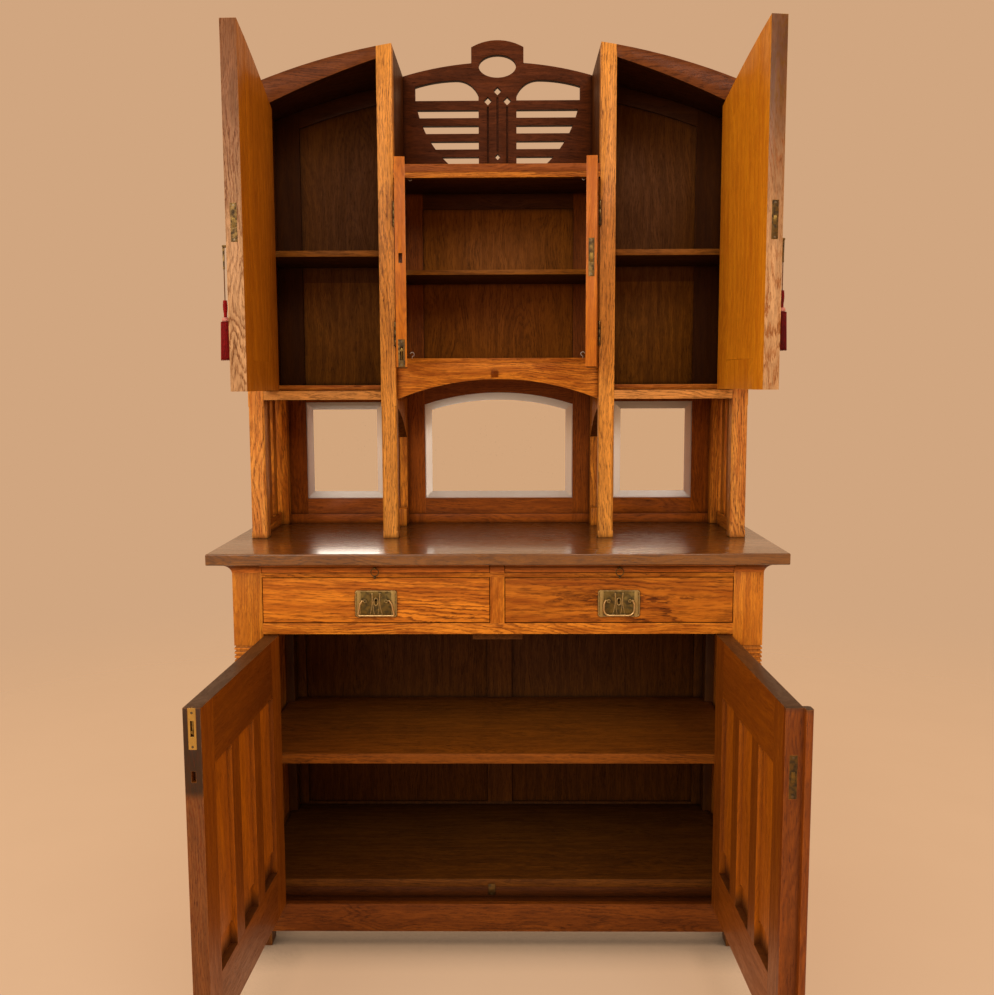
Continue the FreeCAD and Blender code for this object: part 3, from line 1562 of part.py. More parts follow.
def crest():
    y0 = back_inner - crest_thickness
    oval = Part.Ellipse(Vector(0, 0, 0), oval_half_width, oval_half_height).toShape()
    oval = Part.Face(Part.Wire([oval])).extrude(Z * (crest_thickness + 2 * overrun))
    oval.rotate(Vector(0, 0, 0), X, 90)
    oval.translate(Vector(0, y0 + crest_thickness + overrun, inner_post_top + oval_rise))
    cutters = [oval] + both(crest_window(y0))
    for index in range(crest_slot_count):
        cutters += both(crest_slot(y0, index))
    cutters.append(diamond(y0, 0, crest_window_bottom + diamond_high_rise, diamond_half))
    cutters += both(diamond(y0, incised_spacing, crest_window_bottom - diamond_low_drop, diamond_half))
    cutters.append(diamond(y0, 0, centre_top + diamond_foot_rise, small_diamond_half))
    cutters.append(incised_line(y0, 0, centre_top + incised_inner_foot,
                                crest_window_bottom + incised_inner_rise))
    cutters += both(incised_line(y0, incised_spacing, centre_top - overrun,
                                 crest_window_bottom - incised_outer_drop))
    return without(crest_blank(y0), cutters)


# Files

def write_fixed():
    write("top_board", [top_board()])
    write("cornice_moulding", cornice())
    write("base_stiles", both(front_stile()) + both(rear_stile()))
    sides = side_frame()
    write("base_side_frames", sides + [mirrored(piece) for piece in sides])
    write("base_back", base_back())
    write("base_boards", [notched_board(bottom_board_top, bottom_board_thickness),
                          notched_board(shelf_top, shelf_thickness)])
    write("plinth_rail", plinth())
    write("drawer_frame", front_rails() + drawer_divider())
    write("runners_and_stops", runners() + stops_and_battens())
    write("upper_posts", both(outer_post()) + both(inner_post()))
    write("upper_walls", upper_walls())
    write("side_arch_rails", both(side_arch_rail()) + both(side_under_rail()))
    write("side_curved_tops", both(curved_top()))
    floors = both(side_board(side_floor_top, side_bottom_thickness))
    write("upper_floors_and_top", floors + centre_boards())
    shelves = both(side_board(side_shelf_top, side_shelf_thickness))
    setback = UPPER.thickness + shut_gap
    write("upper_shelves", shelves + [centre_board(centre_shelf_top, centre_shelf_thickness, setback)])
    write("centre_arched_rail", centre_arched_rail())
    write("upper_back_frame", upper_back_frame())
    write("upper_back_panels", upper_back_panels())
    write("bevelled_mirrors", mirrors())
    write("niche_side_frames", niche_sides())
    write("crest_fretwork", [crest()])
    fittings = keeps()
    for place in (LOWER, UPPER, CENTRE):
        for piece in hinge_set(place, on_jamb) + hinge_pins(place):
            fittings += both(piece)
    write("fixed_fittings", fittings)


def write_drawers():
    widths = {"left": (bail_left_width, bail_left_knee_width, bail_left_corner),
              "right": (bail_right_width, bail_right_width, bail_right_corner)}
    for side, place in (("left", mirrored), ("right", Part.Shape.copy)):
        write("drawer_" + side + "_front", [place(drawer_front())])
        write("drawer_" + side + "_box", [place(piece) for piece in drawer_box()])
        write("drawer_" + side + "_plate", [place(piece) for piece in handle_plate()])
        write("drawer_" + side + "_bail", [place(bail(*widths[side]))])
        write("slide_" + side, [place(piece) for piece in slide_leaf()])
        write("slide_" + side + "_staple", [place(slide_staple())])
        write("slide_" + side + "_pull", [place(slide_pull())])


def write_door(prefix, place, angle, side, groups):
    """Swing a door's groups of pieces open and write each as one sub-part."""
    for name, pieces in groups:
        swung = [opened(piece, place, angle) for piece in pieces]
        if side == "left":
            swung = [mirrored(piece) for piece in swung]
        write(prefix + name, swung)


def write_doors():
    fittings = hinge_set(LOWER, on_door) + [flush_plate(LOWER, flush_low, flush_high),
                                       escutcheon(LOWER, lower_lock_centre)]
    bolt = flush_bolt(LOWER, flush_low, flush_high, LOWER.top, 1)
    write_door("lower_", LOWER, lower_left_angle, "left",
               [("door_left", lower_door_left()), ("left_fittings", fittings), ("left_bolt", [bolt])])
    fittings = hinge_set(LOWER, on_door) + [forend(LOWER, lower_lock_centre, forend_width),
                                       escutcheon(LOWER, lower_lock_centre)]
    write_door("lower_", LOWER, lower_right_angle, "right",
               [("door_right", lower_door_right()), ("right_fittings", fittings),
                ("right_lock_bolt", [lock_bolt(LOWER, lower_lock_centre)])])
    sides = [("left", upper_left_angle, upper_lock_centre - pendant_drop_left, cord_length_left),
             ("right", upper_right_angle, upper_lock_centre - pendant_drop_right, cord_length_right)]
    for side, angle, pivot, length in sides:
        fittings = hinge_set(UPPER, on_door) + [forend(UPPER, upper_lock_centre, forend_width),
                                           escutcheon(UPPER, upper_lock_centre), pendant_bracket(pivot)]
        write_door("upper_", UPPER, angle, side,
                   [("door_" + side, upper_door_wood()), (side + "_fittings", fittings),
                    (side + "_lock_bolt", [lock_bolt(UPPER, upper_lock_centre)]),
                    (side + "_pendant", [pendant(pivot)]),
                    (side + "_tassel_cord", [tassel_cord(pivot, length)]),
                    (side + "_tassel", [tassel(pivot, length)])])
    fittings = hinge_set(CENTRE, on_door) + [flush_plate(CENTRE, centre_flush_low, centre_flush_high)]
    bolt = flush_bolt(CENTRE, centre_flush_low, centre_flush_high, CENTRE.bottom, -1)
    write_door("centre_", CENTRE, centre_door_angle, "left",
               [("door_left", centre_door_left()), ("left_fittings", fittings), ("left_bolt", [bolt])])
    fittings = hinge_set(CENTRE, on_door) + [forend(CENTRE, centre_lock_centre, centre_forend_width),
                                        escutcheon(CENTRE, centre_lock_centre)]
    write_door("centre_", CENTRE, centre_door_angle, "right",
               [("door_right", centre_door_right()), ("right_fittings", fittings),
                ("right_lock_bolt", [lock_bolt(CENTRE, centre_lock_centre)])])


write_fixed()
write_drawers()
write_doors()
print("tassel cords: straight, no bends, lengths", cord_length_left, cord_length_right, "diameter",
      cord_diameter)
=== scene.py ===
import json
import math
import random

import bmesh
import bpy
from mathutils import Matrix, Vector

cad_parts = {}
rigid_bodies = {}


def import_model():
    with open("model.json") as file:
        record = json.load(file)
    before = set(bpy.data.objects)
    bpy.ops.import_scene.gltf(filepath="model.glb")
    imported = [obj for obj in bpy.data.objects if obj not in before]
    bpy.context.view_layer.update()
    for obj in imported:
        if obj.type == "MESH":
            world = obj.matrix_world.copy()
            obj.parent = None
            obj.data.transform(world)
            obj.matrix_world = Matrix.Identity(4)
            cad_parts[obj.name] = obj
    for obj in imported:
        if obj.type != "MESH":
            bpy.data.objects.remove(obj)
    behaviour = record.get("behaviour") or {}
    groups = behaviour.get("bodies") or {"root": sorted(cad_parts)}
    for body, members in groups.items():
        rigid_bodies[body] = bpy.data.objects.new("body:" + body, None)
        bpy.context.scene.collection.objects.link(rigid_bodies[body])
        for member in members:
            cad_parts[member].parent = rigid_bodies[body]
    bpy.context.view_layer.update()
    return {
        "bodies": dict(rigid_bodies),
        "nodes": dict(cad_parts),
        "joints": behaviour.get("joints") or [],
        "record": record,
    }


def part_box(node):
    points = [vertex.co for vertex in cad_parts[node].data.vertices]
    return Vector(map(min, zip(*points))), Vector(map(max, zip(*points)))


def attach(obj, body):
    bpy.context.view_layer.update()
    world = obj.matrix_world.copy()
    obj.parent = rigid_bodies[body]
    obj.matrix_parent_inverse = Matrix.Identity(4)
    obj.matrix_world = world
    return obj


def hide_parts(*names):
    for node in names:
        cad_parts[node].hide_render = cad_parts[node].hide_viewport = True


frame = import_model()
nodes = frame["nodes"]
joints = {joint["name"]: joint for joint in frame["joints"]}

MM = 0.001

# The lower carcase's middle, about which the places below are given
base_low, base_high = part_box("base_stiles")
base_y = (base_low.y + base_high.y) / 2


def colour(red, green, blue):
    """Linear colour of a screen colour given from 0 to 255."""
    levels = [level / 255 for level in (red, green, blue)]
    linear = [level / 12.92 if level <= 0.04045 else ((level + 0.055) / 1.055) ** 2.4 for level in levels]
    return (*linear, 1.0)


# Node trees

class Tree:
    """Short calls that add nodes to one material's or group's tree and link them."""

    def __init__(self, tree):
        self.tree = tree

    def add(self, kind, **settings):
        node = self.tree.nodes.new("ShaderNode" + kind)
        for name, value in settings.items():
            setattr(node, name, value)
        return node

    def put(self, socket, value):
        if isinstance(value, bpy.types.NodeSocket):
            self.tree.links.new(value, socket)
        else:
            socket.default_value = value

    def math(self, operation, *values, clamp=False):
        node = self.add("Math", operation=operation, use_clamp=clamp)
        for socket, value in zip(node.inputs, values):
            self.put(socket, value)
        return node.outputs[0]

    def times(self, value, factor):
        return self.math("MULTIPLY", value, factor)

    def line(self, value, factor, offset, clamp=False):
        """The value times a factor, plus an offset."""
        return self.math("MULTIPLY_ADD", value, factor, offset, clamp=clamp)

    def vector(self, operation, *values):
        node = self.add("VectorMath", operation=operation)
        for socket, value in zip(node.inputs, values):
            self.put(socket, value)
        return node.outputs[0]

    def stretch(self, vector, factors):
        """The vector with each part multiplied by its own factor."""
        return self.vector("MULTIPLY", vector, factors)

    def split(self, vector):
        node = self.add("SeparateXYZ")
        self.put(node.inputs[0], vector)
        return node.outputs

    def join(self, x, y, z):
        node = self.add("CombineXYZ")
        for socket, value in zip(node.inputs, (x, y, z)):
            self.put(socket, value)
        return node.outputs[0]

    def noise(self, vector, scale=1.0, detail=2.0, roughness=0.5):
        node = self.add("TexNoise")
        self.put(node.inputs["Vector"], vector)
        self.put(node.inputs["Scale"], scale)
        self.put(node.inputs["Detail"], detail)
        self.put(node.inputs["Roughness"], roughness)
        return node.outputs["Fac"]

    def spread(self, value, low, high, start=0.0, end=1.0, smooth=True):
        """The value taken from the range low to high onto the range start to end."""
        node = self.add("MapRange", interpolation_type="SMOOTHSTEP" if smooth else "LINEAR")
        for name, number in (("From Min", low), ("From Max", high), ("To Min", start), ("To Max", end)):
            self.put(node.inputs[name], number)
        self.put(node.inputs["Value"], value)
        return node.outputs["Result"]

    def mix(self, factor, a, b, blend="MIX"):
        node = self.add("Mix", data_type="RGBA", blend_type=blend)
        self.put(node.inputs[0], factor)
        self.put(node.inputs[6], a)
        self.put(node.inputs[7], b)
        return node.outputs[2]

    def level(self, shade, amount):
        """A colour with all its channels multiplied by one amount."""
        return self.mix(1.0, shade, self.join(amount, amount, amount), blend="MULTIPLY")

    def mix_vector(self, factor, a, b):
        node = self.add("Mix", data_type="VECTOR")
        self.put(node.inputs[0], factor)
        self.put(node.inputs[4], a)
        self.put(node.inputs[5], b)
        return node.outputs[1]

    def bump(self, height, strength, distance):
        node = self.add("Bump")
        self.put(node.inputs["Strength"], strength)
        self.put(node.inputs["Distance"], distance)
        self.put(node.inputs["Height"], height)
        return node.outputs["Normal"]

    def edges(self, radius):
        """One on worn convex edges, from how far the rounded normal leans away from the true one."""
        rounded = self.add("Bevel", samples=4)
        self.put(rounded.inputs["Radius"], radius)
        true = self.add("NewGeometry")
        lean = self.add("VectorMath", operation="DOT_PRODUCT")
        self.put(lean.inputs[0], rounded.outputs[0])
        self.put(lean.inputs[1], true.outputs["True Normal"])
        return self.spread(lean.outputs["Value"], 0.995, 0.82)

    def occlusion_shade(self, reach):
        """One in deep corners, from how much of the surroundings is covered: a mask for painted shade."""
        node = self.add("AmbientOcclusion", samples=4)
        self.put(node.inputs["Distance"], reach)
        return self.spread(node.outputs["AO"], 0.95, 0.35)


def new_object(name, data):
    """A new object, linked to the scene."""
    holder = bpy.data.objects.new(name, data)
    bpy.context.scene.collection.objects.link(holder)
    return holder


def new_material(name):
    """A material with its tree, its shader and the place on the object."""
    material = bpy.data.materials.new(name)
    material.use_nodes = True
    tree = Tree(material.node_tree)
    shader = material.node_tree.nodes["Principled BSDF"]
    return material, tree, shader, tree.add("TexCoord").outputs["Object"]


def grain_group():
    """Oak in a board's own directions: across, across and along. Gives rings, pores, streaks and figure."""
    group = bpy.data.node_groups.new("oak_grain", "ShaderNodeTree")
    group.interface.new_socket("Place", in_out="INPUT", socket_type="NodeSocketVector")
    group.interface.new_socket("Board", in_out="INPUT", socket_type="NodeSocketFloat")
    for name in ("Ring", "Pore", "Streak", "Figure"):
        group.interface.new_socket(name, in_out="OUTPUT", socket_type="NodeSocketFloat")
    tree = Tree(group)
    source = group.nodes.new("NodeGroupInput")
    result = group.nodes.new("NodeGroupOutput")
    place, board = source.outputs[0], source.outputs[1]
    shift = tree.join(tree.times(board, 3.7), tree.times(board, 9.1), tree.times(board, 21.3))
    moved = tree.vector("ADD", place, shift)

    def noise(across, along, detail, roughness=0.5):
        """Noise with one scale across the grain and another along it."""
        return tree.noise(tree.stretch(moved, (across, across, along)), detail=detail, roughness=roughness)

    # Growth rings round a heart line that leans and wanders, so that they cross the faces as arches
    half_width, half_depth = 0.095, 0.075
    rings_per_metre, bands_per_metre = 190.0, 42.0
    wander = noise(4.0, 2.2, 2.0)
    bend = tree.line(wander, 0.11, -0.055)
    across, depth, along = tree.split(moved)
    u = tree.math("PINGPONG", tree.math("ADD", across, bend), half_width)
    lean = tree.line(along, 0.06, bend)
    v = tree.math("PINGPONG", tree.math("ADD", depth, lean), half_depth)
    reach = tree.math("SQRT", tree.math("ADD", tree.times(u, u), tree.times(v, v)))
    uneven = noise(30.0, 5.0, 2.0)
    sway = noise(60.0, 11.0, 4.0, 0.7)
    swept = tree.line(sway, 2.6, tree.times(reach, bands_per_metre))
    wide = tree.math("FRACT", swept)
    band = tree.times(tree.spread(wide, 0.0, 0.5), tree.spread(wide, 1.0, 0.72))
    ragged = noise(420.0, 75.0, 3.0, 0.65)
    phase = tree.line(reach, rings_per_metre, tree.times(ragged, 1.3))
    phase = tree.line(uneven, 5.0, phase)
    saw = tree.math("FRACT", phase)
    ring = tree.times(tree.spread(saw, 0.0, 0.14), tree.spread(saw, 0.62, 0.14))
    strength = tree.spread(noise(16.0, 7.0, 3.0), 0.3, 0.65, 0.25, 1.0)
    ring = tree.times(ring, strength)

    # Open pores as short dark dashes, thickest in the rings, and the soft streaks between them
    dashes = noise(620.0, 48.0, 2.0, 0.6)
    pore = tree.times(tree.spread(dashes, 0.53, 0.63), tree.line(ring, 0.5, 0.5))
    streak = tree.spread(noise(150.0, 6.0, 3.0), 0.3, 0.7)
    cloud = tree.spread(noise(22.0, 7.0, 3.0), 0.3, 0.7)
    figure = tree.line(cloud, 0.35, tree.times(band, 0.65))
    for index, value in enumerate((ring, pore, streak, figure)):
        tree.put(result.inputs[index], value)
    return group


oak_grain = grain_group()

# For each way that the grain can run, the two directions across it and the one along it
AXES = {"X": (1, 2, 0), "Y": (0, 2, 1), "Z": (0, 1, 2)}

# What all the oak has in common
EDGE_WIDTH = 2.0 * MM
# Reach and strength of the painted shade in corners, and the level of the painted shade on undersides
CORNER_SHADE_REACH = 14 * MM
CORNER_SHADE_STRENGTH = 0.7
UNDERSIDE_SHADE_LEVEL = 0.25
COAT_ROUGHNESS = 0.17
GRAIN_BUMP = 0.3
GRAIN_DEPTH = 0.5 * MM


class Oak:
    """One finish of the oak: its colours, its rings and pores, its gloss, its wear and how boards vary."""

    def __init__(self, light, mid, dark, ring=0.5, pore=0.6, size=1.0, rough=0.42, coat=0.05, shine=0.25,
                 wear=0.3, vary=0.12):
        self.light, self.mid, self.dark = colour(*light), colour(*mid), colour(*dark)
        self.ring, self.pore, self.size = ring, pore, size
        self.rough, self.coat, self.shine = rough, coat, shine
        self.wear, self.vary = wear, vary


class Tint:
    """A colour laid over some of a node's wood, the wood's own colour in some tints and painted light and
    shade in others: inside any of the boxes, as strongly as the strength says.

    A box gives limits in millimetres for X on either side, Y and Z, from the middle of the lower carcase.
    Where fade gives two heights, the tint grows from the first to the second. Grain makes the rings and the
    pores stand out more there.
    """

    def __init__(self, boxes, shade, strength, fade=None, grain=0.0):
        self.boxes, self.shade, self.strength = boxes, colour(*shade), strength
        self.fade, self.grain = fade, grain


FINISHES = {
    "front": Oak((232, 146, 44), (150, 76, 16), (90, 40, 6), ring=0.68, size=1.3, coat=0.0, shine=0.12),
    "drawer": Oak((232, 144, 42), (160, 82, 18), (92, 42, 8), ring=0.8, pore=0.75, size=2.1, coat=0.0,
                  shine=0.12),
    "stile": Oak((234, 150, 42), (184, 104, 20), (120, 60, 10), ring=0.4, pore=0.5),
    "post": Oak((240, 168, 74), (190, 108, 36), (104, 48, 12), ring=0.55, pore=0.9, size=1.25),
    "bench": Oak((150, 97, 42), (112, 68, 28), (60, 33, 10), rough=0.24, coat=1.0, shine=0.4),
    "cornice": Oak((228, 134, 44), (180, 98, 28), (98, 48, 12)),
    "inner": Oak((112, 66, 16), (80, 44, 9), (42, 21, 4), ring=0.4, rough=0.5, coat=0.0, shine=0.15,
                 wear=0.2),
    "cabinet": Oak((152, 94, 22), (106, 62, 11), (54, 30, 5), ring=0.35, rough=0.5, coat=0.0, shine=0.15,
                   wear=0.2),
    "door": Oak((206, 122, 20), (168, 90, 10), (108, 48, 4), ring=0.35, pore=0.35, coat=0.15, rough=0.36),
    "honey": Oak((240, 162, 32), (204, 124, 22), (150, 80, 10), ring=0.25, pore=0.3, rough=0.34, coat=0.05,
                 shine=0.18, vary=0.0),
    # A darker copy of honey, painted shade for the upper door that gets less light
    "shaded_honey": Oak((198, 124, 22), (162, 94, 12), (112, 58, 6), ring=0.22, pore=0.25, rough=0.34,
                        coat=0.05, shine=0.18, vary=0.0),
    "crest": Oak((100, 48, 14), (70, 32, 8), (38, 17, 4), ring=0.4, rough=0.5, coat=0.0, shine=0.1),
    "plinth": Oak((126, 68, 18), (94, 47, 10), (50, 22, 4), shine=0.12),
    "frame": Oak((168, 88, 18), (130, 64, 10), (70, 32, 4), shine=0.12),
    "roof": Oak((158, 86, 26), (122, 62, 16), (66, 30, 6)),
}


def inside(tree, parts, limits):
    """One where a place is within limits, given in millimetres as (low, high) or None for X, Y and Z."""
    found = None
    for part, limit in zip(parts, limits):
        if limit is None:
            continue
        middle, half = (limit[0] + limit[1]) / 2, (limit[1] - limit[0]) / 2
        test = tree.math("COMPARE", part, middle * MM, half * MM)
        found = test if found is None else tree.times(found, test)
    return found


def either_side(tree, place):
    """A place's X without its sign, its Y and its Z."""
    x, y, z = tree.split(place)
    return tree.math("ABSOLUTE", x), y, z


def board_place(tree, place, axis, others):
    """The place in board directions: the default grain axis, and another one within each box of limits."""
    parts = tree.split(place)
    vectors = {name: tree.join(*(parts[index] for index in order)) for name, order in AXES.items()}
    mirrored = either_side(tree, place)
    result = vectors[axis]
    for other, limits in others:
        result = tree.mix_vector(inside(tree, mirrored, limits), result, vectors[other])
    return result


def closing(hinge):
    """The turn that takes a door from where it stands to its closed place."""
    joint = joints[hinge]
    angle = math.radians(max(joint["range_deg"], key=abs))
    pivot = Vector(joint["pos_m"])
    return Matrix.Translation(pivot) @ Matrix.Rotation(angle, 4, "Z") @ Matrix.Translation(-pivot)


def closed_place(tree, place, hinge):
    """A swung door's place taken back to where the door stands closed."""
    turn = closing(hinge)
    node = tree.add("Mapping", vector_type="POINT")
    node.inputs["Rotation"].default_value = turn.to_euler()
    node.inputs["Location"].default_value = turn.to_translation()
    tree.put(node.inputs["Vector"], place)
    return node.outputs[0]


def oak(name, finish, axis, others=(), hinge=None, tints=()):
    """Oak material of one finish, with the tints laid over it in turn."""
    look = FINISHES[finish]
    material, tree, shader, place = new_material(name)
    if hinge:
        place = closed_place(tree, place, hinge)
    place = tree.vector("SUBTRACT", place, (0.0, base_y, 0.0))
    geometry = tree.add("NewGeometry")
    board = geometry.outputs["Random Per Island"]
    grain = tree.tree.nodes.new("ShaderNodeGroup")
    grain.node_tree = oak_grain
    fine = (1 / look.size,) * 3
    tree.put(grain.inputs[0], tree.stretch(board_place(tree, place, axis, others), fine))
    tree.put(grain.inputs[1], board)
    ring, pore, streak, figure = grain.outputs
    tone = tree.math("ADD", tree.times(streak, 0.35), tree.times(figure, 0.65))
    base = tree.mix(tone, look.light, look.mid)

    # Tints, each with the figure showing through it
    mirrored = either_side(tree, place)
    shade = tree.line(tone, -0.4, 1.0)
    ring_strength, pore_strength = look.ring, look.pore
    for tint in tints:
        found = inside(tree, mirrored, tint.boxes[0])
        for box in tint.boxes[1:]:
            found = tree.math("MAXIMUM", found, inside(tree, mirrored, box))
        if tint.fade:
            found = tree.times(found, tree.spread(mirrored[2], tint.fade[0] * MM, tint.fade[1] * MM))
        if tint.grain:
            ring_strength = tree.line(found, tint.grain, ring_strength, clamp=True)
            pore_strength = tree.line(found, tint.grain, pore_strength, clamp=True)
        toned = tree.level(tint.shade, shade)
        base = tree.mix(tree.times(found, tint.strength), base, toned)

    # Rings, pores and the difference from board to board
    deep = tree.mix(1.0, base, look.dark, blend="DARKEN")
    base = tree.mix(tree.times(ring, ring_strength), base, deep)
    pore_and_shade_colour = tuple(level * 0.45 for level in look.dark[:3]) + (1.0,)
    base = tree.mix(tree.times(pore, pore_strength), base, pore_and_shade_colour)
    base = tree.level(base, tree.spread(board, 0.0, 1.0, 1.0 - look.vary, 1.0 + look.vary, smooth=False))

    # Rubbed edges, painted shade in the corners and painted shade on the undersides
    patch = tree.noise(place, scale=38.0, detail=3.0)
    worn = tree.times(tree.edges(EDGE_WIDTH), tree.spread(patch, 0.35, 0.65))
    pale = tuple(min(1.0, level * 1.4 + 0.02) for level in look.light[:3]) + (1.0,)
    base = tree.mix(tree.times(worn, look.wear), base, pale)
    # Painted shade: the wood turns towards the pore colour where parts close round it, in corners and between
    # boards
    corner_shade = tree.times(tree.occlusion_shade(CORNER_SHADE_REACH), CORNER_SHADE_STRENGTH)
    base = tree.mix(corner_shade, base, pore_and_shade_colour)
    # Painted shade: faces that look downwards are made darker
    facing = tree.split(geometry.outputs["Normal"])[2]
    base = tree.level(base, tree.spread(facing, -0.25, -0.8, 1.0, UNDERSIDE_SHADE_LEVEL))
    tree.put(shader.inputs["Base Color"], base)

    rough = tree.line(pore, 0.2, look.rough)
    rough = tree.line(figure, 0.1, rough)
    tree.put(shader.inputs["Roughness"], rough)
    tree.put(shader.inputs["Specular IOR Level"], look.shine)
    tree.put(shader.inputs["Coat Weight"], look.coat)
    tree.put(shader.inputs["Coat Roughness"], COAT_ROUGHNESS)
    height = tree.math("ADD", tree.times(pore, -1.0), tree.times(ring, -0.35))
    tree.put(shader.inputs["Normal"], tree.bump(height, GRAIN_BUMP, GRAIN_DEPTH))
    return material


def brass(name, bright, dark, gloss=0.3, patina=0.6, boxes=(), other=None):
    """Old brass or bronze, dark where it isn't rubbed, and of another colour inside any of the boxes."""
    material, tree, shader, place = new_material(name)
    blotch = tree.spread(tree.noise(place, scale=95.0, detail=4.0), 0.35, 0.68)
    fine = tree.noise(place, scale=900.0, detail=2.0)
    rubbed = tree.edges(1.0 * MM)
    cover = tree.times(tree.math("SUBTRACT", 1.0, rubbed), tree.times(blotch, patina))
    base = tree.mix(cover, colour(*bright), colour(*dark))
    mirrored = either_side(tree, tree.vector("SUBTRACT", place, (0.0, base_y, 0.0)))
    for box in boxes:
        base = tree.mix(inside(tree, mirrored, box), base, colour(*other))
    tree.put(shader.inputs["Base Color"], base)
    tree.put(shader.inputs["Metallic"], tree.spread(cover, 0.0, 1.0, 1.0, 0.55))
    tree.put(shader.inputs["Roughness"], tree.line(cover, 0.35, gloss))
    tree.put(shader.inputs["Normal"], tree.bump(fine, 0.18, 0.1 * MM))
    return material


def mirror_glass(name):
    """Silvered plate, faintly warm, with a few clouds of specks in the silver and duller bevels."""
    material, tree, shader, place = new_material(name)
    specks = tree.spread(tree.noise(place, scale=420.0, detail=2.0), 0.7, 0.78)
    cloud = tree.spread(tree.noise(place, scale=7.0, detail=3.0), 0.45, 0.8)
    flaw = tree.times(specks, cloud)
    tree.put(shader.inputs["Base Color"], tree.mix(flaw, colour(255, 252, 246), colour(120, 104, 84)))
    tree.put(shader.inputs["Metallic"], 1.0)
    normal = tree.split(tree.add("NewGeometry").outputs["True Normal"])
    bevelled = tree.spread(tree.math("ABSOLUTE", normal[1]), 0.9999, 0.99)
    rough = tree.line(cloud, 0.02, 0.012)
    rough = tree.line(bevelled, 0.38, rough)
    tree.put(shader.inputs["Roughness"], rough)
    return material


def silk(name, light, dark):
    """Silk or cotton thread with a sheen that runs along the strands."""
    material, tree, shader, place = new_material(name)
    thread = tree.noise(tree.stretch(place, (2400.0, 2400.0, 70.0)), detail=1.0)
    blotch = tree.noise(place, scale=120.0, detail=2.0)
    shade = tree.math("ADD", tree.times(thread, 0.6), tree.times(blotch, 0.4))
    base = tree.mix(tree.spread(shade, 0.35, 0.65), colour(*light), colour(*dark))
    # Painted shade in the hollows between the threads
    hollow_shade = (*(level * 0.35 for level in colour(*dark)[:3]), 1.0)
    base = tree.mix(tree.occlusion_shade(3 * MM), base, hollow_shade)
    tree.put(shader.inputs["Base Color"], base)
    tree.put(shader.inputs["Roughness"], tree.line(thread, 0.2, 0.5))
    tree.put(shader.inputs["Sheen Weight"], 0.06)
    tree.put(shader.inputs["Sheen Roughness"], 0.4)
    tree.put(shader.inputs["Specular IOR Level"], 0.2)
    tree.put(shader.inputs["Normal"], tree.bump(thread, 0.4, 0.15 * MM))
    return material


# Finishes of the cabinet's own nodes

# Widths of the rounded edges, and the angles in degrees past which edges are rounded and shaded sharp
SEAM = 0.01 * MM
CASE_EDGE = 0.8 * MM
DRAWER_EDGE = 0.5 * MM
TALL_DOOR_EDGE = 0.25 * MM
METAL_EDGE = 0.25 * MM
BEVEL_ANGLE = 40
SHARP_ANGLE = 32


def dress(node, material):
    """Give a node its material."""
    piece = nodes[node]
    piece.data.materials.clear()
    piece.data.materials.append(material)


def soften(node, width):
    """Join a node's seams, round its edges by the width and set its shading."""
    piece = nodes[node]
    weld = piece.modifiers.new("seams", "WELD")
    weld.merge_threshold = SEAM
    bevel = piece.modifiers.new("edges", "BEVEL")
    bevel.width = width
    bevel.segments = 2
    bevel.limit_method = "ANGLE"
    bevel.angle_limit = math.radians(BEVEL_ANGLE)
    bevel.use_clamp_overlap = True
    smooth = piece.modifiers.new("shading", "NODES")
    smooth.node_group = shading_group()


def shading_group():
    """Shade smooth, but sharp at steeper corners and where boards touch face to face."""
    name = "shade_by_angle"
    if name in bpy.data.node_groups:
        return bpy.data.node_groups[name]
    group = bpy.data.node_groups.new(name, "GeometryNodeTree")
    group.interface.new_socket("Geometry", in_out="INPUT", socket_type="NodeSocketGeometry")
    group.interface.new_socket("Geometry", in_out="OUTPUT", socket_type="NodeSocketGeometry")
    new = group.nodes.new
    source, result = new("NodeGroupInput"), new("NodeGroupOutput")
    drop = new("GeometryNodeRemoveAttribute")
    drop.inputs["Name"].default_value = "custom_normal"
    faces = new("GeometryNodeSetShadeSmooth")
    faces.domain = "FACE"
    angle = new("GeometryNodeInputMeshEdgeAngle")
    sharp = new("FunctionNodeCompare")
    sharp.operation = "GREATER_THAN"
    sharp.inputs["B"].default_value = math.radians(SHARP_ANGLE)
    neighbours = new("GeometryNodeInputMeshEdgeNeighbors")
    joint = new("FunctionNodeCompare")
    joint.operation = "NOT_EQUAL"
    joint.inputs["B"].default_value = 2
    either = new("FunctionNodeBooleanMath")
    either.operation = "OR"
    edges = new("GeometryNodeSetShadeSmooth")
    edges.domain = "EDGE"
    edges.inputs["Shade Smooth"].default_value = False
    link = group.links.new
    link(source.outputs[0], drop.inputs["Geometry"])
    link(drop.outputs[0], faces.inputs["Geometry"])
    link(faces.outputs[0], edges.inputs["Geometry"])
    link(angle.outputs["Unsigned Angle"], sharp.inputs["A"])
    link(neighbours.outputs["Face Count"], joint.inputs["A"])
    link(sharp.outputs[0], either.inputs[0])
    link(joint.outputs[0], either.inputs[1])
    link(either.outputs[0], edges.inputs["Selection"])
    link(edges.outputs[0], result.inputs[0])
    return group


# The dark stain of the doors' edges, and a place in front of everything for limits that are open to the front
UMBER = (66, 48, 34)
FAR_FRONT = -400


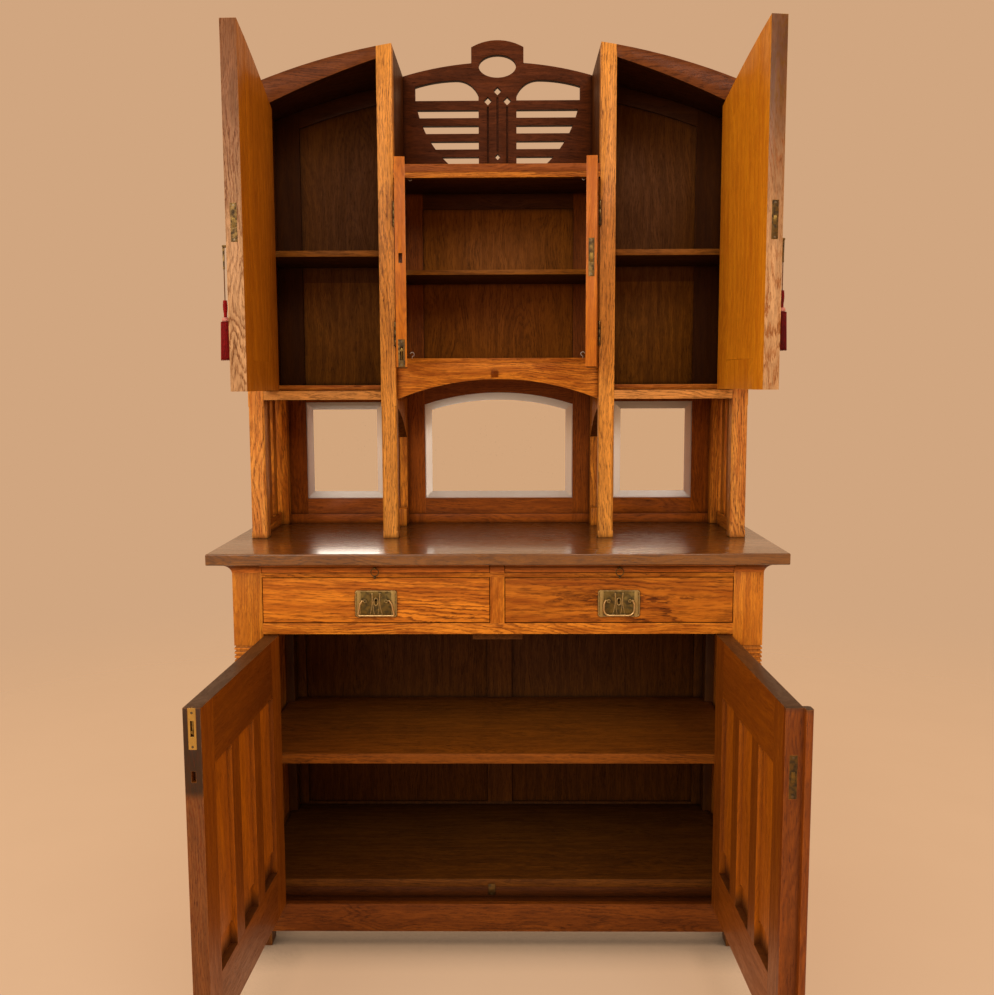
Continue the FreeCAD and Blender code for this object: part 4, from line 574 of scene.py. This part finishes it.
def cabinet_wood():
    """Every fixed wooden node: its finish, the way its grain runs, where it runs otherwise, and its tints."""
    rails_x = [("X", (None, None, (0, 147))), ("X", (None, None, (810, 960)))]
    rails_y = [("Y", (None, (-215, 195), (0, 147))), ("Y", (None, (-215, 195), (810, 960)))]
    frame_back = (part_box("upper_back_frame")[1].y - base_y) / MM
    panel_back = (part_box("upper_back_panels")[1].y - base_y) / MM
    frame_front, panel_front = (FAR_FRONT, frame_back - 5), (FAR_FRONT, panel_back - 2)
    feet = [Tint([(None, None, (0, 200))], (84, 46, 16), 0.9, (150, 60)),
            Tint([((0, 620), (150, 256), (147, 812))], (56, 30, 8), 0.92)]
    # Darker inside faces of the upper walls: partly darker inside wood, partly painted shade inside the
    # cabinets
    inner_walls_wood_and_shade = [Tint([((0, 615), None, (1360, 2300))], (74, 38, 9), 0.9)]
    roof_board = [Tint([(None, None, (1880, 1915))], (146, 76, 22), 0.9)]
    shelf = [Tint([(None, None, (300, 600))], (160, 90, 21), 0.8)]
    riser = [Tint([(None, (-235, -150), (100, 170))], (76, 38, 9), 0.8)]
    # Painted light: the inner posts lightened where the open doors shade them from the lamps
    inner_posts_painted_light = [Tint([((170, 300), None, None)], (255, 174, 68), 0.88)]
    # Lighter rail under the side cabinets: partly the rail's own honey colour, partly painted light where the
    # open doors shade it
    under_rail_honey_and_light = [Tint([(None, None, (1300, 1400))], (255, 178, 92), 0.95)]
    back_panels = [Tint([((0, 206), panel_front, (1400, 1900))], (196, 112, 26), 0.6),
                   # Painted shade: the backs of the side cabinets darker towards their tops
                   Tint([((262, 640), panel_front, (1650, 2300))], (110, 62, 14), 0.8)]
    cabinet_backs = [Tint([((320, 640), frame_front, (1365, 2300))], (70, 38, 9), 0.92),
                     Tint([((0, 206), frame_front, (1500, 1900))], (88, 48, 10), 0.9)]
    plans = {
        "top_board": ("bench", "X", (), ()),
        "cornice_moulding": ("cornice", "X", [("Y", ((626, 700), None, None))], ()),
        "base_stiles": ("stile", "Z", (), feet),
        "base_side_frames": ("front", "Z", rails_y, ()),
        "base_back": ("inner", "Z", rails_x, ()),
        "base_boards": ("inner", "X", (), shelf),
        "plinth_rail": ("plinth", "X", (), riser),
        "drawer_frame": ("front", "X", [("Z", ((0, 17.5), None, (808.5, 918.5)))], ()),
        "runners_and_stops": ("inner", "Y", (), ()),
        "upper_posts": ("post", "Z", (), inner_posts_painted_light),
        "upper_walls": ("front", "Z", (), inner_walls_wood_and_shade),
        "side_arch_rails": ("plinth", "X", (), under_rail_honey_and_light),
        "side_curved_tops": ("roof", "X", (), ()),
        "upper_floors_and_top": ("front", "X", (), roof_board),
        "upper_shelves": ("cabinet", "X", (), ()),
        "centre_arched_rail": ("front", "X", (), ()),
        "upper_back_frame": ("frame", "Z", [("X", ((0, 206), None, None)), ("X", ((321, 540), None, None))],
                             cabinet_backs),
        "upper_back_panels": ("cabinet", "Z", (), back_panels),
        "niche_side_frames": ("front", "Z", [("Y", ((588, 640), (-17, 204), (970, 1016)))], ()),
        "crest_fretwork": ("crest", "X", (), ()),
    }
    for node, (finish, axis, others, tints) in plans.items():
        dress(node, oak(node, finish, axis, others, tints=tints))
        soften(node, CASE_EDGE)


def lower_door_wood(side):
    """Dark frame round three lighter panels, and the aged free edge and top."""
    rails = [("X", ((73, 485), None, (100, 225))), ("X", ((73, 485), None, (650, 790)))]
    panels = [((72, 175), None, (225, 651)), ((226, 330), None, (225, 651)), ((381, 485), None, (225, 651))]
    frame = [((0, 72), None, (0, 800)), ((484, 560), None, (0, 800)), ((175, 227), None, (225, 651)),
             ((329, 382), None, (225, 651)), ((72, 485), None, (0, 226)), ((72, 485), None, (650, 800))]
    edge_reach = 2.2 if side == "left" else 14.0
    edge = [((-14, edge_reach), None, (0, 800))]
    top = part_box("lower_door_" + side)[1].z / MM
    top_face = [(None, None, (top - 0.7, top + 20))]
    tints = [Tint(frame, (134, 71, 10), 0.75), Tint(panels, (206, 118, 14), 0.7),
             # The panels turn darker towards their feet
             Tint(panels, UMBER, 0.75, (268, 232))]
    if side == "left":
        tints.append(Tint(edge, (134, 80, 36), 0.88, grain=0.8))
        tints.append(Tint(edge, (50, 32, 18), 0.92, (600, 622)))
    else:
        tints.append(Tint(edge, (144, 72, 11), 0.88, grain=0.4))
        tints.append(Tint(edge, UMBER, 0.7, (768, 784)))
    tints.append(Tint(top_face, UMBER, 0.9))
    return oak("lower_door_" + side, "door", "Z", rails, hinge="lower_door_" + side + "_hinge", tints=tints)


def upper_door_wood(side):
    """One plain honey board, with a paler free edge, partly worn and partly a painted highlight, that is dark
    towards its top.
    """
    edge = [((290, 295.5), None, (1340, 2200))]
    # Painted shade: the left door takes the darker copy of the honey finish
    finish = "shaded_honey" if side == "left" else "honey"
    top = (134, 84, 46) if side == "left" else (104, 60, 34)
    # The free edge's paleness is partly worn finish and partly painted highlight
    tints = [Tint(edge, (222, 178, 130), 0.92, grain=0.65), Tint(edge, top, 0.9, (1560, 2060))]
    return oak("upper_door_" + side, finish, "Z", hinge="upper_door_" + side + "_hinge", tints=tints)


def moving_wood():
    """The doors, drawers and slides."""
    rails = [("X", ((50, 204), None, (1400, 1462))), ("X", ((50, 204), None, (1820, 1880)))]
    for side in ("left", "right"):
        centre, slide = "centre_door_" + side, "slide_" + side
        front, box = "drawer_" + side + "_front", "drawer_" + side + "_box"
        # Painted shade: the right drawer front made a little darker, as less light falls on the right
        shade = [Tint([(None, None, (800, 960))], (158, 76, 8), 0.3)] if side == "right" else ()
        woods = {
            "lower_door_" + side: (lower_door_wood(side), CASE_EDGE),
            "upper_door_" + side: (upper_door_wood(side), TALL_DOOR_EDGE),
            centre: (oak(centre, "door", "Z", rails, hinge=centre + "_hinge"), CASE_EDGE),
            front: (oak(front, "drawer", "X", tints=shade), DRAWER_EDGE),
            box: (oak(box, "inner", "Y"), DRAWER_EDGE),
            slide: (oak(slide, "cornice", "X"), DRAWER_EDGE),
        }
        for node, (material, edge) in woods.items():
            dress(node, material)
            soften(node, edge)


def metal():
    """Handles, pulls, hinges, locks and bolts."""
    aged = brass("aged_brass", (140, 112, 58), (58, 44, 18))
    dark = brass("dark_brass", (116, 92, 54), (38, 28, 14), patina=0.85)
    ribs = [((241.5, 250.5), None, None), ((323.5, 332.5), None, None)]
    tarnished = brass("tarnished_brass", (128, 108, 60), (58, 46, 20), gloss=0.45, patina=0.75,
                      boxes=ribs, other=(176, 150, 92))
    keep = [((0, 25), None, (1370, 1412))]
    fixed = brass("fixed_brass", (116, 92, 54), (38, 28, 14), patina=0.85, boxes=keep, other=(132, 70, 20))
    pale = brass("pale_brass", (226, 194, 136), (150, 116, 66), gloss=0.3, patina=0.35)
    bright = brass("bright_brass", (214, 176, 96), (120, 92, 44), gloss=0.22, patina=0.3)
    single = {"fixed_fittings": fixed, "lower_left_fittings": bright}
    words = {"bail": pale, "plate": tarnished, "pendant": dark, "pull": dark, "fittings": dark,
             "staple": aged, "bolt": aged}
    for node in nodes:
        shown = single.get(node, next((words[word] for word in words if word in node), None))
        if shown:
            dress(node, shown)
            soften(node, METAL_EDGE)


cabinet_wood()
moving_wood()
metal()
dress("bevelled_mirrors", mirror_glass("mirror"))


# Mesh pieces

# Angles of the corners of a thin round section
WIRE_TURNS = [math.tau * corner / 8 for corner in range(8)]


def mesh_piece(name, build, material, body):
    """A new mesh piece built by a function that fills a bmesh."""
    mesh = bpy.data.meshes.new(name)
    shape = bmesh.new()
    build(shape)
    bmesh.ops.recalc_face_normals(shape, faces=shape.faces)
    shape.to_mesh(mesh)
    shape.free()
    mesh.shade_smooth()
    mesh.materials.append(material)
    piece = new_object(name, mesh)
    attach(piece, body)
    return piece


def skin(shape, rows, closed_ends=True):
    """Faces over rings of points, each ring a list of the same length."""
    rings = [[shape.verts.new(point) for point in row] for row in rows]
    count = len(rings[0])
    for low, high in zip(rings, rings[1:]):
        for index in range(count):
            after = (index + 1) % count
            shape.faces.new((low[index], low[after], high[after], high[index]))
    if closed_ends:
        shape.faces.new(rings[0])
        shape.faces.new(list(reversed(rings[-1])))


def direction(turn):
    """The level direction at a turn about the vertical."""
    return Vector((math.cos(turn), math.sin(turn), 0))


def steps(start, end, count):
    """Numbers from start to end at equal steps."""
    return [start + (end - start) * index / count for index in range(count + 1)]


# Screws

# Heights of the plates that carry screws, in whole millimetres
LEAF_HEIGHT = 60
FLUSH_PLATE_HEIGHT = 79
LOCK_PLATE_HEIGHTS = (62, 84)
LEAF_THICKNESS = 1.4 * MM
SCREW_RADIUS = 2.5 * MM
LEAF_SCREW_INSET = 9 * MM
PLATE_SCREW_INSET = 5 * MM


def solids(node):
    """The points of each separate solid of a node."""
    mesh = nodes[node].data
    keys = [tuple(round(part / (0.005 * MM)) for part in vertex.co) for vertex in mesh.vertices]
    leader = {key: key for key in keys}

    def head(key):
        while leader[key] != key:
            leader[key] = leader[leader[key]]
            key = leader[key]
        return key
    for face in mesh.polygons:
        first = head(keys[face.vertices[0]])
        for index in face.vertices[1:]:
            leader[head(keys[index])] = first
    groups = {}
    for index, key in enumerate(keys):
        groups.setdefault(head(key), []).append(mesh.vertices[index].co.copy())
    return list(groups.values())


def corners(points):
    """The lowest and the highest corner of the box round some points."""
    low = Vector([min(point[index] for point in points) for index in range(3)])
    high = Vector([max(point[index] for point in points) for index in range(3)])
    return low, high


def screw_head(shape, place, out, radius, turn):
    """A slotted head: two half rounds with the slot between them, over a thin seat."""
    up = Vector((0, 0, 1))
    side = out.cross(up)
    slot = radius * 0.16
    seat, top, proud = 0.06 * MM, 0.3 * MM, radius * 0.12

    def ring(points, height):
        result = []
        for a, b in points:
            x, y = a * math.cos(turn) - b * math.sin(turn), a * math.sin(turn) + b * math.cos(turn)
            result.append(place + side * x + up * y + out * height)
        return result
    turns = [math.tau * step / 20 for step in range(20)]
    full = [(radius * math.cos(angle), radius * math.sin(angle)) for angle in turns]
    skin(shape, [ring(full, -0.2 * MM), ring(full, seat)])
    start = math.asin(slot / radius)
    for sign in (1, -1):
        half = []
        for step in range(11):
            angle = start + (math.pi - 2 * start) * step / 10
            half.append((radius * math.cos(angle), sign * radius * math.sin(angle)))
        inner = [(a * 0.86, sign * slot + (b - sign * slot) * 0.86) for a, b in half]
        skin(shape, [ring(half, -0.1 * MM), ring(half, top - proud), ring(inner, top)])


def plate_screws(low, high, right, on_frame):
    """Where the screws go on one plate, by its height: places and the way they face, in the closed place."""
    height = round((high.z - low.z) / MM)
    inward = -1 if right else 1
    if height == LEAF_HEIGHT:
        plane = high.x - LEAF_THICKNESS if on_frame == right else low.x + LEAF_THICKNESS
        facing = inward if on_frame else -inward
        y = high.y - LEAF_SCREW_INSET
        heights = (low.z + LEAF_SCREW_INSET, low.z + LEAF_HEIGHT * MM - LEAF_SCREW_INSET)
    elif height == FLUSH_PLATE_HEIGHT or height in LOCK_PLATE_HEIGHTS:
        plane = low.x if right else high.x
        facing = inward
        y = (low.y + high.y) / 2
        upper_inset = LEAF_SCREW_INSET if height == FLUSH_PLATE_HEIGHT else PLATE_SCREW_INSET
        heights = (low.z + PLATE_SCREW_INSET, high.z - upper_inset)
    else:
        return []
    return [(Vector((plane, y, z)), Vector((facing, 0, 0))) for z in heights]


def screws(node, body, hinge, material, seed):
    """Slotted screws in a node's hinge leaves, forends and bolt plates."""
    draw = random.Random(seed)
    turn = closing(hinge) if hinge else Matrix.Identity(4)

    def build(shape):
        for points in solids(node):
            low, high = corners([turn @ point for point in points])
            for place, facing in plate_screws(low, high, low.x + high.x > 0, hinge is None):
                screw_head(shape, place, facing, SCREW_RADIUS, draw.uniform(0, math.pi))
        bmesh.ops.transform(shape, matrix=turn.inverted(), verts=shape.verts)
    piece = mesh_piece(body + "_screws", build, material, body)
    piece.data.shade_flat()


def all_screws():
    """The screws of the cabinet's own leaves and of each door."""
    steel = brass("screw_steel", (120, 104, 80), (46, 36, 24), gloss=0.35)
    screws("fixed_fittings", "cabinet", None, steel, 1)
    for index, group in enumerate(("lower", "upper", "centre")):
        for side in ("left", "right"):
            body = group + "_door_" + side
            screws(group + "_" + side + "_fittings", body, body + "_hinge", steel, 2 + index)


# Cords and tassels

PENDANT_LENGTH = 50 * MM
NECK_LENGTH = 38 * MM
RING_HEIGHT = 10 * MM
SKIRT_LENGTH = 85 * MM
STRAND_COUNT = 84
STRAND_HALF_WIDTH = 0.5 * MM
CORD_DIAMETER = 2.6 * MM
CORD_STRANDS = 3
CORD_PITCH = 7 * MM
LEFT_CORD_LENGTH = 69 * MM
RIGHT_CORD_LENGTH = 62 * MM


def turned(centre, heights, count, radius_at):
    """Rings of a turned form: radius_at(height share, angle) gives the radius."""
    rows = []
    start, end = heights[0], heights[-1]
    angles = [math.tau * index / count for index in range(count)]
    for height in heights:
        share = (height - start) / (end - start)
        middle = Vector((centre.x, centre.y, height))
        rows.append([middle + direction(angle) * radius_at(share, angle) for angle in angles])
    return rows


def tassel_neck(shape, centre, top, bottom):
    """Plaited neck: ridges that cross as they go round it."""
    def radius(share, angle):
        climb = share * math.tau * 3.5
        plait = max(math.cos(3 * (angle + climb)), math.cos(3 * (angle - climb)))
        slim = 0.72 + 0.28 * math.sin(math.pi * min(1.0, share * 1.15 + 0.1))
        return (4.7 + 0.65 * plait) * slim * MM
    skin(shape, turned(centre, steps(top, bottom, 90), 48, radius))


def tassel_ring(shape, centre, top, bottom):
    """Bound ring: a rounded band with the turns of its thread."""
    def radius(share, angle):
        swell = math.sin(math.pi * (0.12 + 0.76 * share))
        turns = 0.18 * math.cos(share * math.tau * 7 + angle)
        return (5.8 + 2.3 * swell + turns) * MM
    skin(shape, turned(centre, steps(top, bottom, 56), 40, radius))


def tassel_skirt(shape, centre, top, bottom, seed):
    """Fringe of separate strands round a fuller inner bundle, cut a little unevenly."""
    draw = random.Random(seed)
    length = top - bottom

    def bundle(share, angle):
        ripple = 0.35 * math.cos(30 * angle + 4 * share)
        return (9.9 + 1.9 * share + ripple) * MM
    skin(shape, turned(centre, steps(top, bottom + 2.5 * MM, 24), 60, bundle))
    for index in range(STRAND_COUNT):
        angle = math.tau * (index + draw.uniform(-0.2, 0.2)) / STRAND_COUNT
        sway = draw.uniform(-0.05, 0.05)
        end = bottom + draw.uniform(0.0, 2.2) * MM
        stand = draw.uniform(-0.3, 0.35)
        rows = []
        for height in steps(top, end, 12):
            share = (top - height) / length
            spread = (10.3 + 2.0 * share + stand * share) * MM
            around = angle + sway * share + 0.012 * math.sin(9 * share + index)
            out, side = direction(around), direction(around + math.pi / 2)
            middle = Vector((centre.x, centre.y, height)) + out * spread
            rows.append([middle + way * STRAND_HALF_WIDTH for way in (out, side, -out, -side)])
        skin(shape, rows)


def route(name, points):
    """The cord's own line: one open spline through its two ends."""
    curve = bpy.data.curves.new(name, "CURVE")
    curve.dimensions = "3D"
    curve.resolution_u = 12
    spline = curve.splines.new("NURBS")
    spline.points.add(len(points) - 1)
    for target, point in zip(spline.points, points):
        target.co = (*point, 1.0)
    spline.order_u = 3
    spline.use_endpoint_u = True
    holder = new_object(name, curve)
    bpy.context.view_layer.update()
    line = bpy.data.meshes.new_from_object(holder)
    places = [vertex.co.copy() for vertex in line.vertices]
    bpy.data.objects.remove(holder)
    bpy.data.meshes.remove(line)
    bpy.data.curves.remove(curve)
    return places


def twisted(shape, places, diameter, strands, pitch):
    """Strands laid round a line of places, each a little over half as thick as the cord."""
    strand_radius = diameter * 0.27
    lay = diameter / 2 - strand_radius
    fine = []
    for a, b in zip(places, places[1:]):
        count = max(1, round((b - a).length / (0.5 * MM)))
        fine += [a.lerp(b, index / count) for index in range(count)]
    fine.append(places[-1])
    for strand in range(strands):
        rows = []
        travelled = 0.0
        for index, place in enumerate(fine):
            if index > 0:
                travelled += (place - fine[index - 1]).length
            turn = math.tau * (travelled / pitch + strand / strands)
            middle = place + direction(turn) * lay
            rows.append([middle + direction(step) * strand_radius for step in WIRE_TURNS])
        skin(shape, rows)


def hanging_tassel(side, cord_length, threads, band, seed):
    """Cord, plaited neck, bound ring and fringe, hung from a pendant's foot."""
    x, y, pivot = joints["upper_" + side + "_pendant_swing"]["pos_m"]
    exit_height = pivot - PENDANT_LENGTH
    cord_end = exit_height - cord_length
    neck_end = cord_end - NECK_LENGTH
    ring_end = neck_end - RING_HEIGHT
    skirt_end = ring_end - SKIRT_LENGTH
    body = "upper_" + side + "_pendant"
    centre = Vector((x, y, 0))
    middle = (exit_height + cord_end) / 2
    places = route("cord_line_" + side, [(x, y, exit_height), (x, y, middle), (x, y, cord_end)])
    gold = silk("cord_thread_" + side, (150, 104, 60), (92, 56, 30))
    cord = mesh_piece("tassel_cord_" + side,
                      lambda shape: twisted(shape, places, CORD_DIAMETER, CORD_STRANDS, CORD_PITCH),
                      gold, body)
    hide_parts("upper_" + side + "_tassel_cord")

    neck = mesh_piece("tassel_neck_" + side,
                      lambda shape: tassel_neck(shape, centre, cord_end + 0.5 * MM, neck_end),
                      threads, body)
    ring = mesh_piece("tassel_ring_" + side,
                      lambda shape: tassel_ring(shape, centre, neck_end + 0.5 * MM, ring_end - 0.5 * MM),
                      band, body)
    fringe = mesh_piece("tassel_fringe_" + side,
                        lambda shape: tassel_skirt(shape, centre, ring_end + 1 * MM, skirt_end, seed),
                        threads, body)
    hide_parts("upper_" + side + "_tassel")


def tassels():
    """Both tassels, the right one of a darker silk."""
    band = silk("tassel_band", (236, 176, 160), (196, 112, 100))
    left = silk("tassel_silk_left", (176, 10, 12), (120, 4, 6))
    right = silk("tassel_silk_right", (136, 8, 9), (90, 3, 4))
    hanging_tassel("left", LEFT_CORD_LENGTH, left, band, 11)
    hanging_tassel("right", RIGHT_CORD_LENGTH, right, band, 12)


# Relief of the handle plates, and the small hooks in the middle cabinet

POST_LENGTH = 9 * MM
POST_ACROSS = 25 * MM
PIVOT_RISE = 8 * MM
RIM_HALF_WIDTH = 48.0 * MM
RIM_HALF_HEIGHT = 30.2 * MM
RIM_CORNER = 5.0 * MM
STEM_HEIGHT = 54 * MM
STEM_FOOT = -28 * MM

# Each stem's place across at its foot and at its tip, and how far it swells between them, in millimetres
STEMS = ((4.0, 8.0, 1.5), (15.0, 10.0, -3.0))


def wire(shape, points, radius, closed=False):
    """A round wire along a line of points that lies in an upright plane facing the front."""
    out = Vector((0, -1, 0))
    rows = []
    count = len(points)
    for index, point in enumerate(points):
        before = points[index - 1] if index or closed else point
        after = points[(index + 1) % count] if index < count - 1 or closed else point
        side = (after - before).normalized().cross(out)
        rows.append([point + (side * math.cos(step) + out * math.sin(step)) * radius for step in WIRE_TURNS])
    if closed:
        rows.append(rows[0])
    skin(shape, rows, closed_ends=not closed)
    bmesh.ops.remove_doubles(shape, verts=shape.verts, dist=0.001 * MM)


def oval(centre, half_width, half_height, count=32):
    """Points of an upright oval."""
    turns = [math.tau * index / count for index in range(count)]
    return [centre + Vector((half_width * math.cos(turn), 0, half_height * math.sin(turn))) for turn in turns]


def rounded_frame(centre, half_width, half_height, radius):
    """Points of an upright rectangle with rounded corners."""
    points = []
    for quarter, (a, b) in enumerate(((1, 1), (-1, 1), (-1, -1), (1, -1))):
        middle = centre + Vector((a * (half_width - radius), 0, b * (half_height - radius)))
        for index in range(7):
            turn = math.pi / 2 * (quarter + index / 6)
            points.append(middle + Vector((radius * math.cos(turn), 0, radius * math.sin(turn))))
    return points


def plate_relief(side, material):
    """Raised rim, rings on the posts and round the keyhole, and thin stems that rise beside it."""
    low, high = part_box("drawer_" + side + "_plate")
    centre = Vector(((low.x + high.x) / 2, low.y + POST_LENGTH, (low.z + high.z) / 2))
    pivot = centre + Vector((0, 0, PIVOT_RISE))

    def build(shape):
        wire(shape, rounded_frame(centre, RIM_HALF_WIDTH, RIM_HALF_HEIGHT, RIM_CORNER), 0.8 * MM, closed=True)
        for sign in (-1, 1):
            post_end = pivot + Vector((sign * POST_ACROSS, 0.9 * MM - POST_LENGTH, 0))
            wire(shape, oval(post_end, 3.6 * MM, 3.6 * MM), 1.0 * MM, closed=True)
        wire(shape, oval(pivot + Vector((0, 0, -3.0 * MM)), 5.0 * MM, 8.8 * MM), 0.8 * MM, closed=True)
        for sign in (-1, 1):
            for foot, tip, swell in STEMS:
                stem = []
                for share in steps(0.0, 1.0, 20):
                    across = sign * (foot + (tip - foot) * share + swell * math.sin(math.pi * share))
                    stem.append(centre + Vector((across * MM, 0, STEM_HEIGHT * share + STEM_FOOT)))
                wire(shape, stem, 0.6 * MM)
    mesh_piece("plate_relief_" + side, build, material, "drawer_" + side)


HOOK_ACROSS = 215 * MM
HOOK_FRONT = -22 * MM
HOOK_HEIGHTS = (1436 * MM, 1887 * MM)


def hooks(material):
    """A small open hook in each corner of the middle cabinet, screwed into its floor and its top."""
    def build(shape):
        for sign in (-1, 1):
            for height, up in zip(HOOK_HEIGHTS, (1, -1)):
                foot = Vector((sign * HOOK_ACROSS, base_y + HOOK_FRONT, height))
                points = [foot - Vector((0, 0, up * 1.0 * MM)), foot + Vector((0, 0, up * 5 * MM))]
                middle = foot + Vector((0, 0, up * 10 * MM))
                for step in range(1, 14):
                    turn = math.radians(-90 + 20 * step)
                    points.append(middle + Vector((-sign * math.cos(turn), 0, up * math.sin(turn))) * 5 * MM)
                wire(shape, points, 1.1 * MM)
    mesh_piece("cabinet_hooks", build, material, "cabinet")


def small_metalwork():
    """The relief of both handle plates, and the hooks."""
    relief = brass("relief_brass", (214, 186, 128), (128, 104, 58), gloss=0.45, patina=0.4)
    steel = brass("hook_steel", (220, 212, 200), (150, 142, 130), gloss=0.5, patina=0.3)
    for side in ("left", "right"):
        plate_relief(side, relief)
    hooks(steel)


tassels()
all_screws()
small_metalwork()


# Room, light and camera

ROOM_COLOUR = colour(209, 166, 128)
FLOOR_HALF_SIZE = 6.0
FLOOR_FADE = (1.6, 4.5)
FLOOR_GLOW = 0.66
SHADOW_REACH = 130 * MM
LAMP_TARGET = (0, 0, 1.2)

# The photograph's viewpoint in millimetres from the lower carcase's middle, and the camera's angles
CAMERA_PLACE = (26.7, -2663, 1376)
CAMERA_HEADING = 0.63
CAMERA_TILT = -6.346
CAMERA_ROLL = -0.21
SENSOR_WIDTH = 36.0
FOCAL_LENGTH = 37.62


def floor():
    """A pale floor with a painted contact shadow near the cupboard, that fades out a little way from it."""
    mesh = bpy.data.meshes.new("floor")
    shape = bmesh.new()
    bmesh.ops.create_grid(shape, x_segments=40, y_segments=40, size=FLOOR_HALF_SIZE)
    shape.to_mesh(mesh)
    shape.free()
    material, tree, shader, place = new_material("floor")
    grainy = tree.noise(place, scale=3.0, detail=4.0)
    # Painted shadow: occlusion darkens the floor's colour and its glow near the cupboard
    shadow = tree.spread(tree.occlusion_shade(SHADOW_REACH), 0.0, 1.0, 1.0, 0.1, smooth=False)
    base = tree.mix(grainy, colour(165, 154, 135), colour(160, 149, 130))
    tree.put(shader.inputs["Base Color"], tree.level(base, shadow))
    tree.put(shader.inputs["Roughness"], tree.spread(grainy, 0.0, 1.0, 0.55, 0.7))
    tree.put(shader.inputs["Emission Color"], ROOM_COLOUR)
    tree.put(shader.inputs["Emission Strength"], tree.times(shadow, FLOOR_GLOW))
    far = tree.add("VectorMath", operation="LENGTH")
    tree.put(far.inputs[0], place)
    fade = tree.spread(far.outputs["Value"], *FLOOR_FADE)
    mixer = tree.add("MixShader")
    for socket, value in zip(mixer.inputs, (fade, shader.outputs[0], tree.add("BsdfTransparent").outputs[0])):
        tree.put(socket, value)
    output = next(node for node in material.node_tree.nodes if node.type == "OUTPUT_MATERIAL")
    tree.put(output.inputs["Surface"], mixer.outputs[0])
    mesh.materials.append(material)
    new_object("floor", mesh)


def lamp(name, place, size, power, tint):
    """A soft rectangular lamp that faces the cupboard's middle."""
    light = bpy.data.lights.new(name, "AREA")
    light.shape = "RECTANGLE"
    light.size, light.size_y = size
    light.energy = power
    light.color = tint
    holder = new_object(name, light)
    holder.location = place
    holder.rotation_euler = (Vector(LAMP_TARGET) - Vector(place)).to_track_quat("-Z", "Y").to_euler()


def room():
    """An even, pale surrounding and two soft lamps."""
    world = bpy.data.worlds.new("room")
    world.use_nodes = True
    background = world.node_tree.nodes["Background"]
    background.inputs["Color"].default_value = ROOM_COLOUR
    bpy.context.scene.world = world
    bpy.context.scene.view_settings.view_transform = "Standard"
    lamp("key", place=(-2.1, -4.0, 3.0), size=(3.4, 3.0), power=95, tint=(1.0, 0.94, 0.86))
    lamp("fill", place=(1.7, -4.2, 3.6), size=(2.0, 1.6), power=60, tint=(1.0, 0.95, 0.9))


def camera():
    """The camera, where the photograph was taken from."""
    data = bpy.data.cameras.new("camera")
    data.sensor_fit = "HORIZONTAL"
    data.sensor_width = SENSOR_WIDTH
    data.lens = FOCAL_LENGTH
    data.clip_end = 100.0
    holder = new_object("camera", data)
    across, depth, height = CAMERA_PLACE
    holder.location = (across * MM, base_y + depth * MM, height * MM)
    heading = Matrix.Rotation(math.radians(CAMERA_HEADING), 3, "Z")
    tilt = Matrix.Rotation(math.radians(90 + CAMERA_TILT), 3, "X")
    roll = Matrix.Rotation(math.radians(CAMERA_ROLL), 3, "Z")
    holder.rotation_euler = (heading @ tilt @ roll).to_euler()
    bpy.context.scene.camera = holder


floor()
room()
camera()
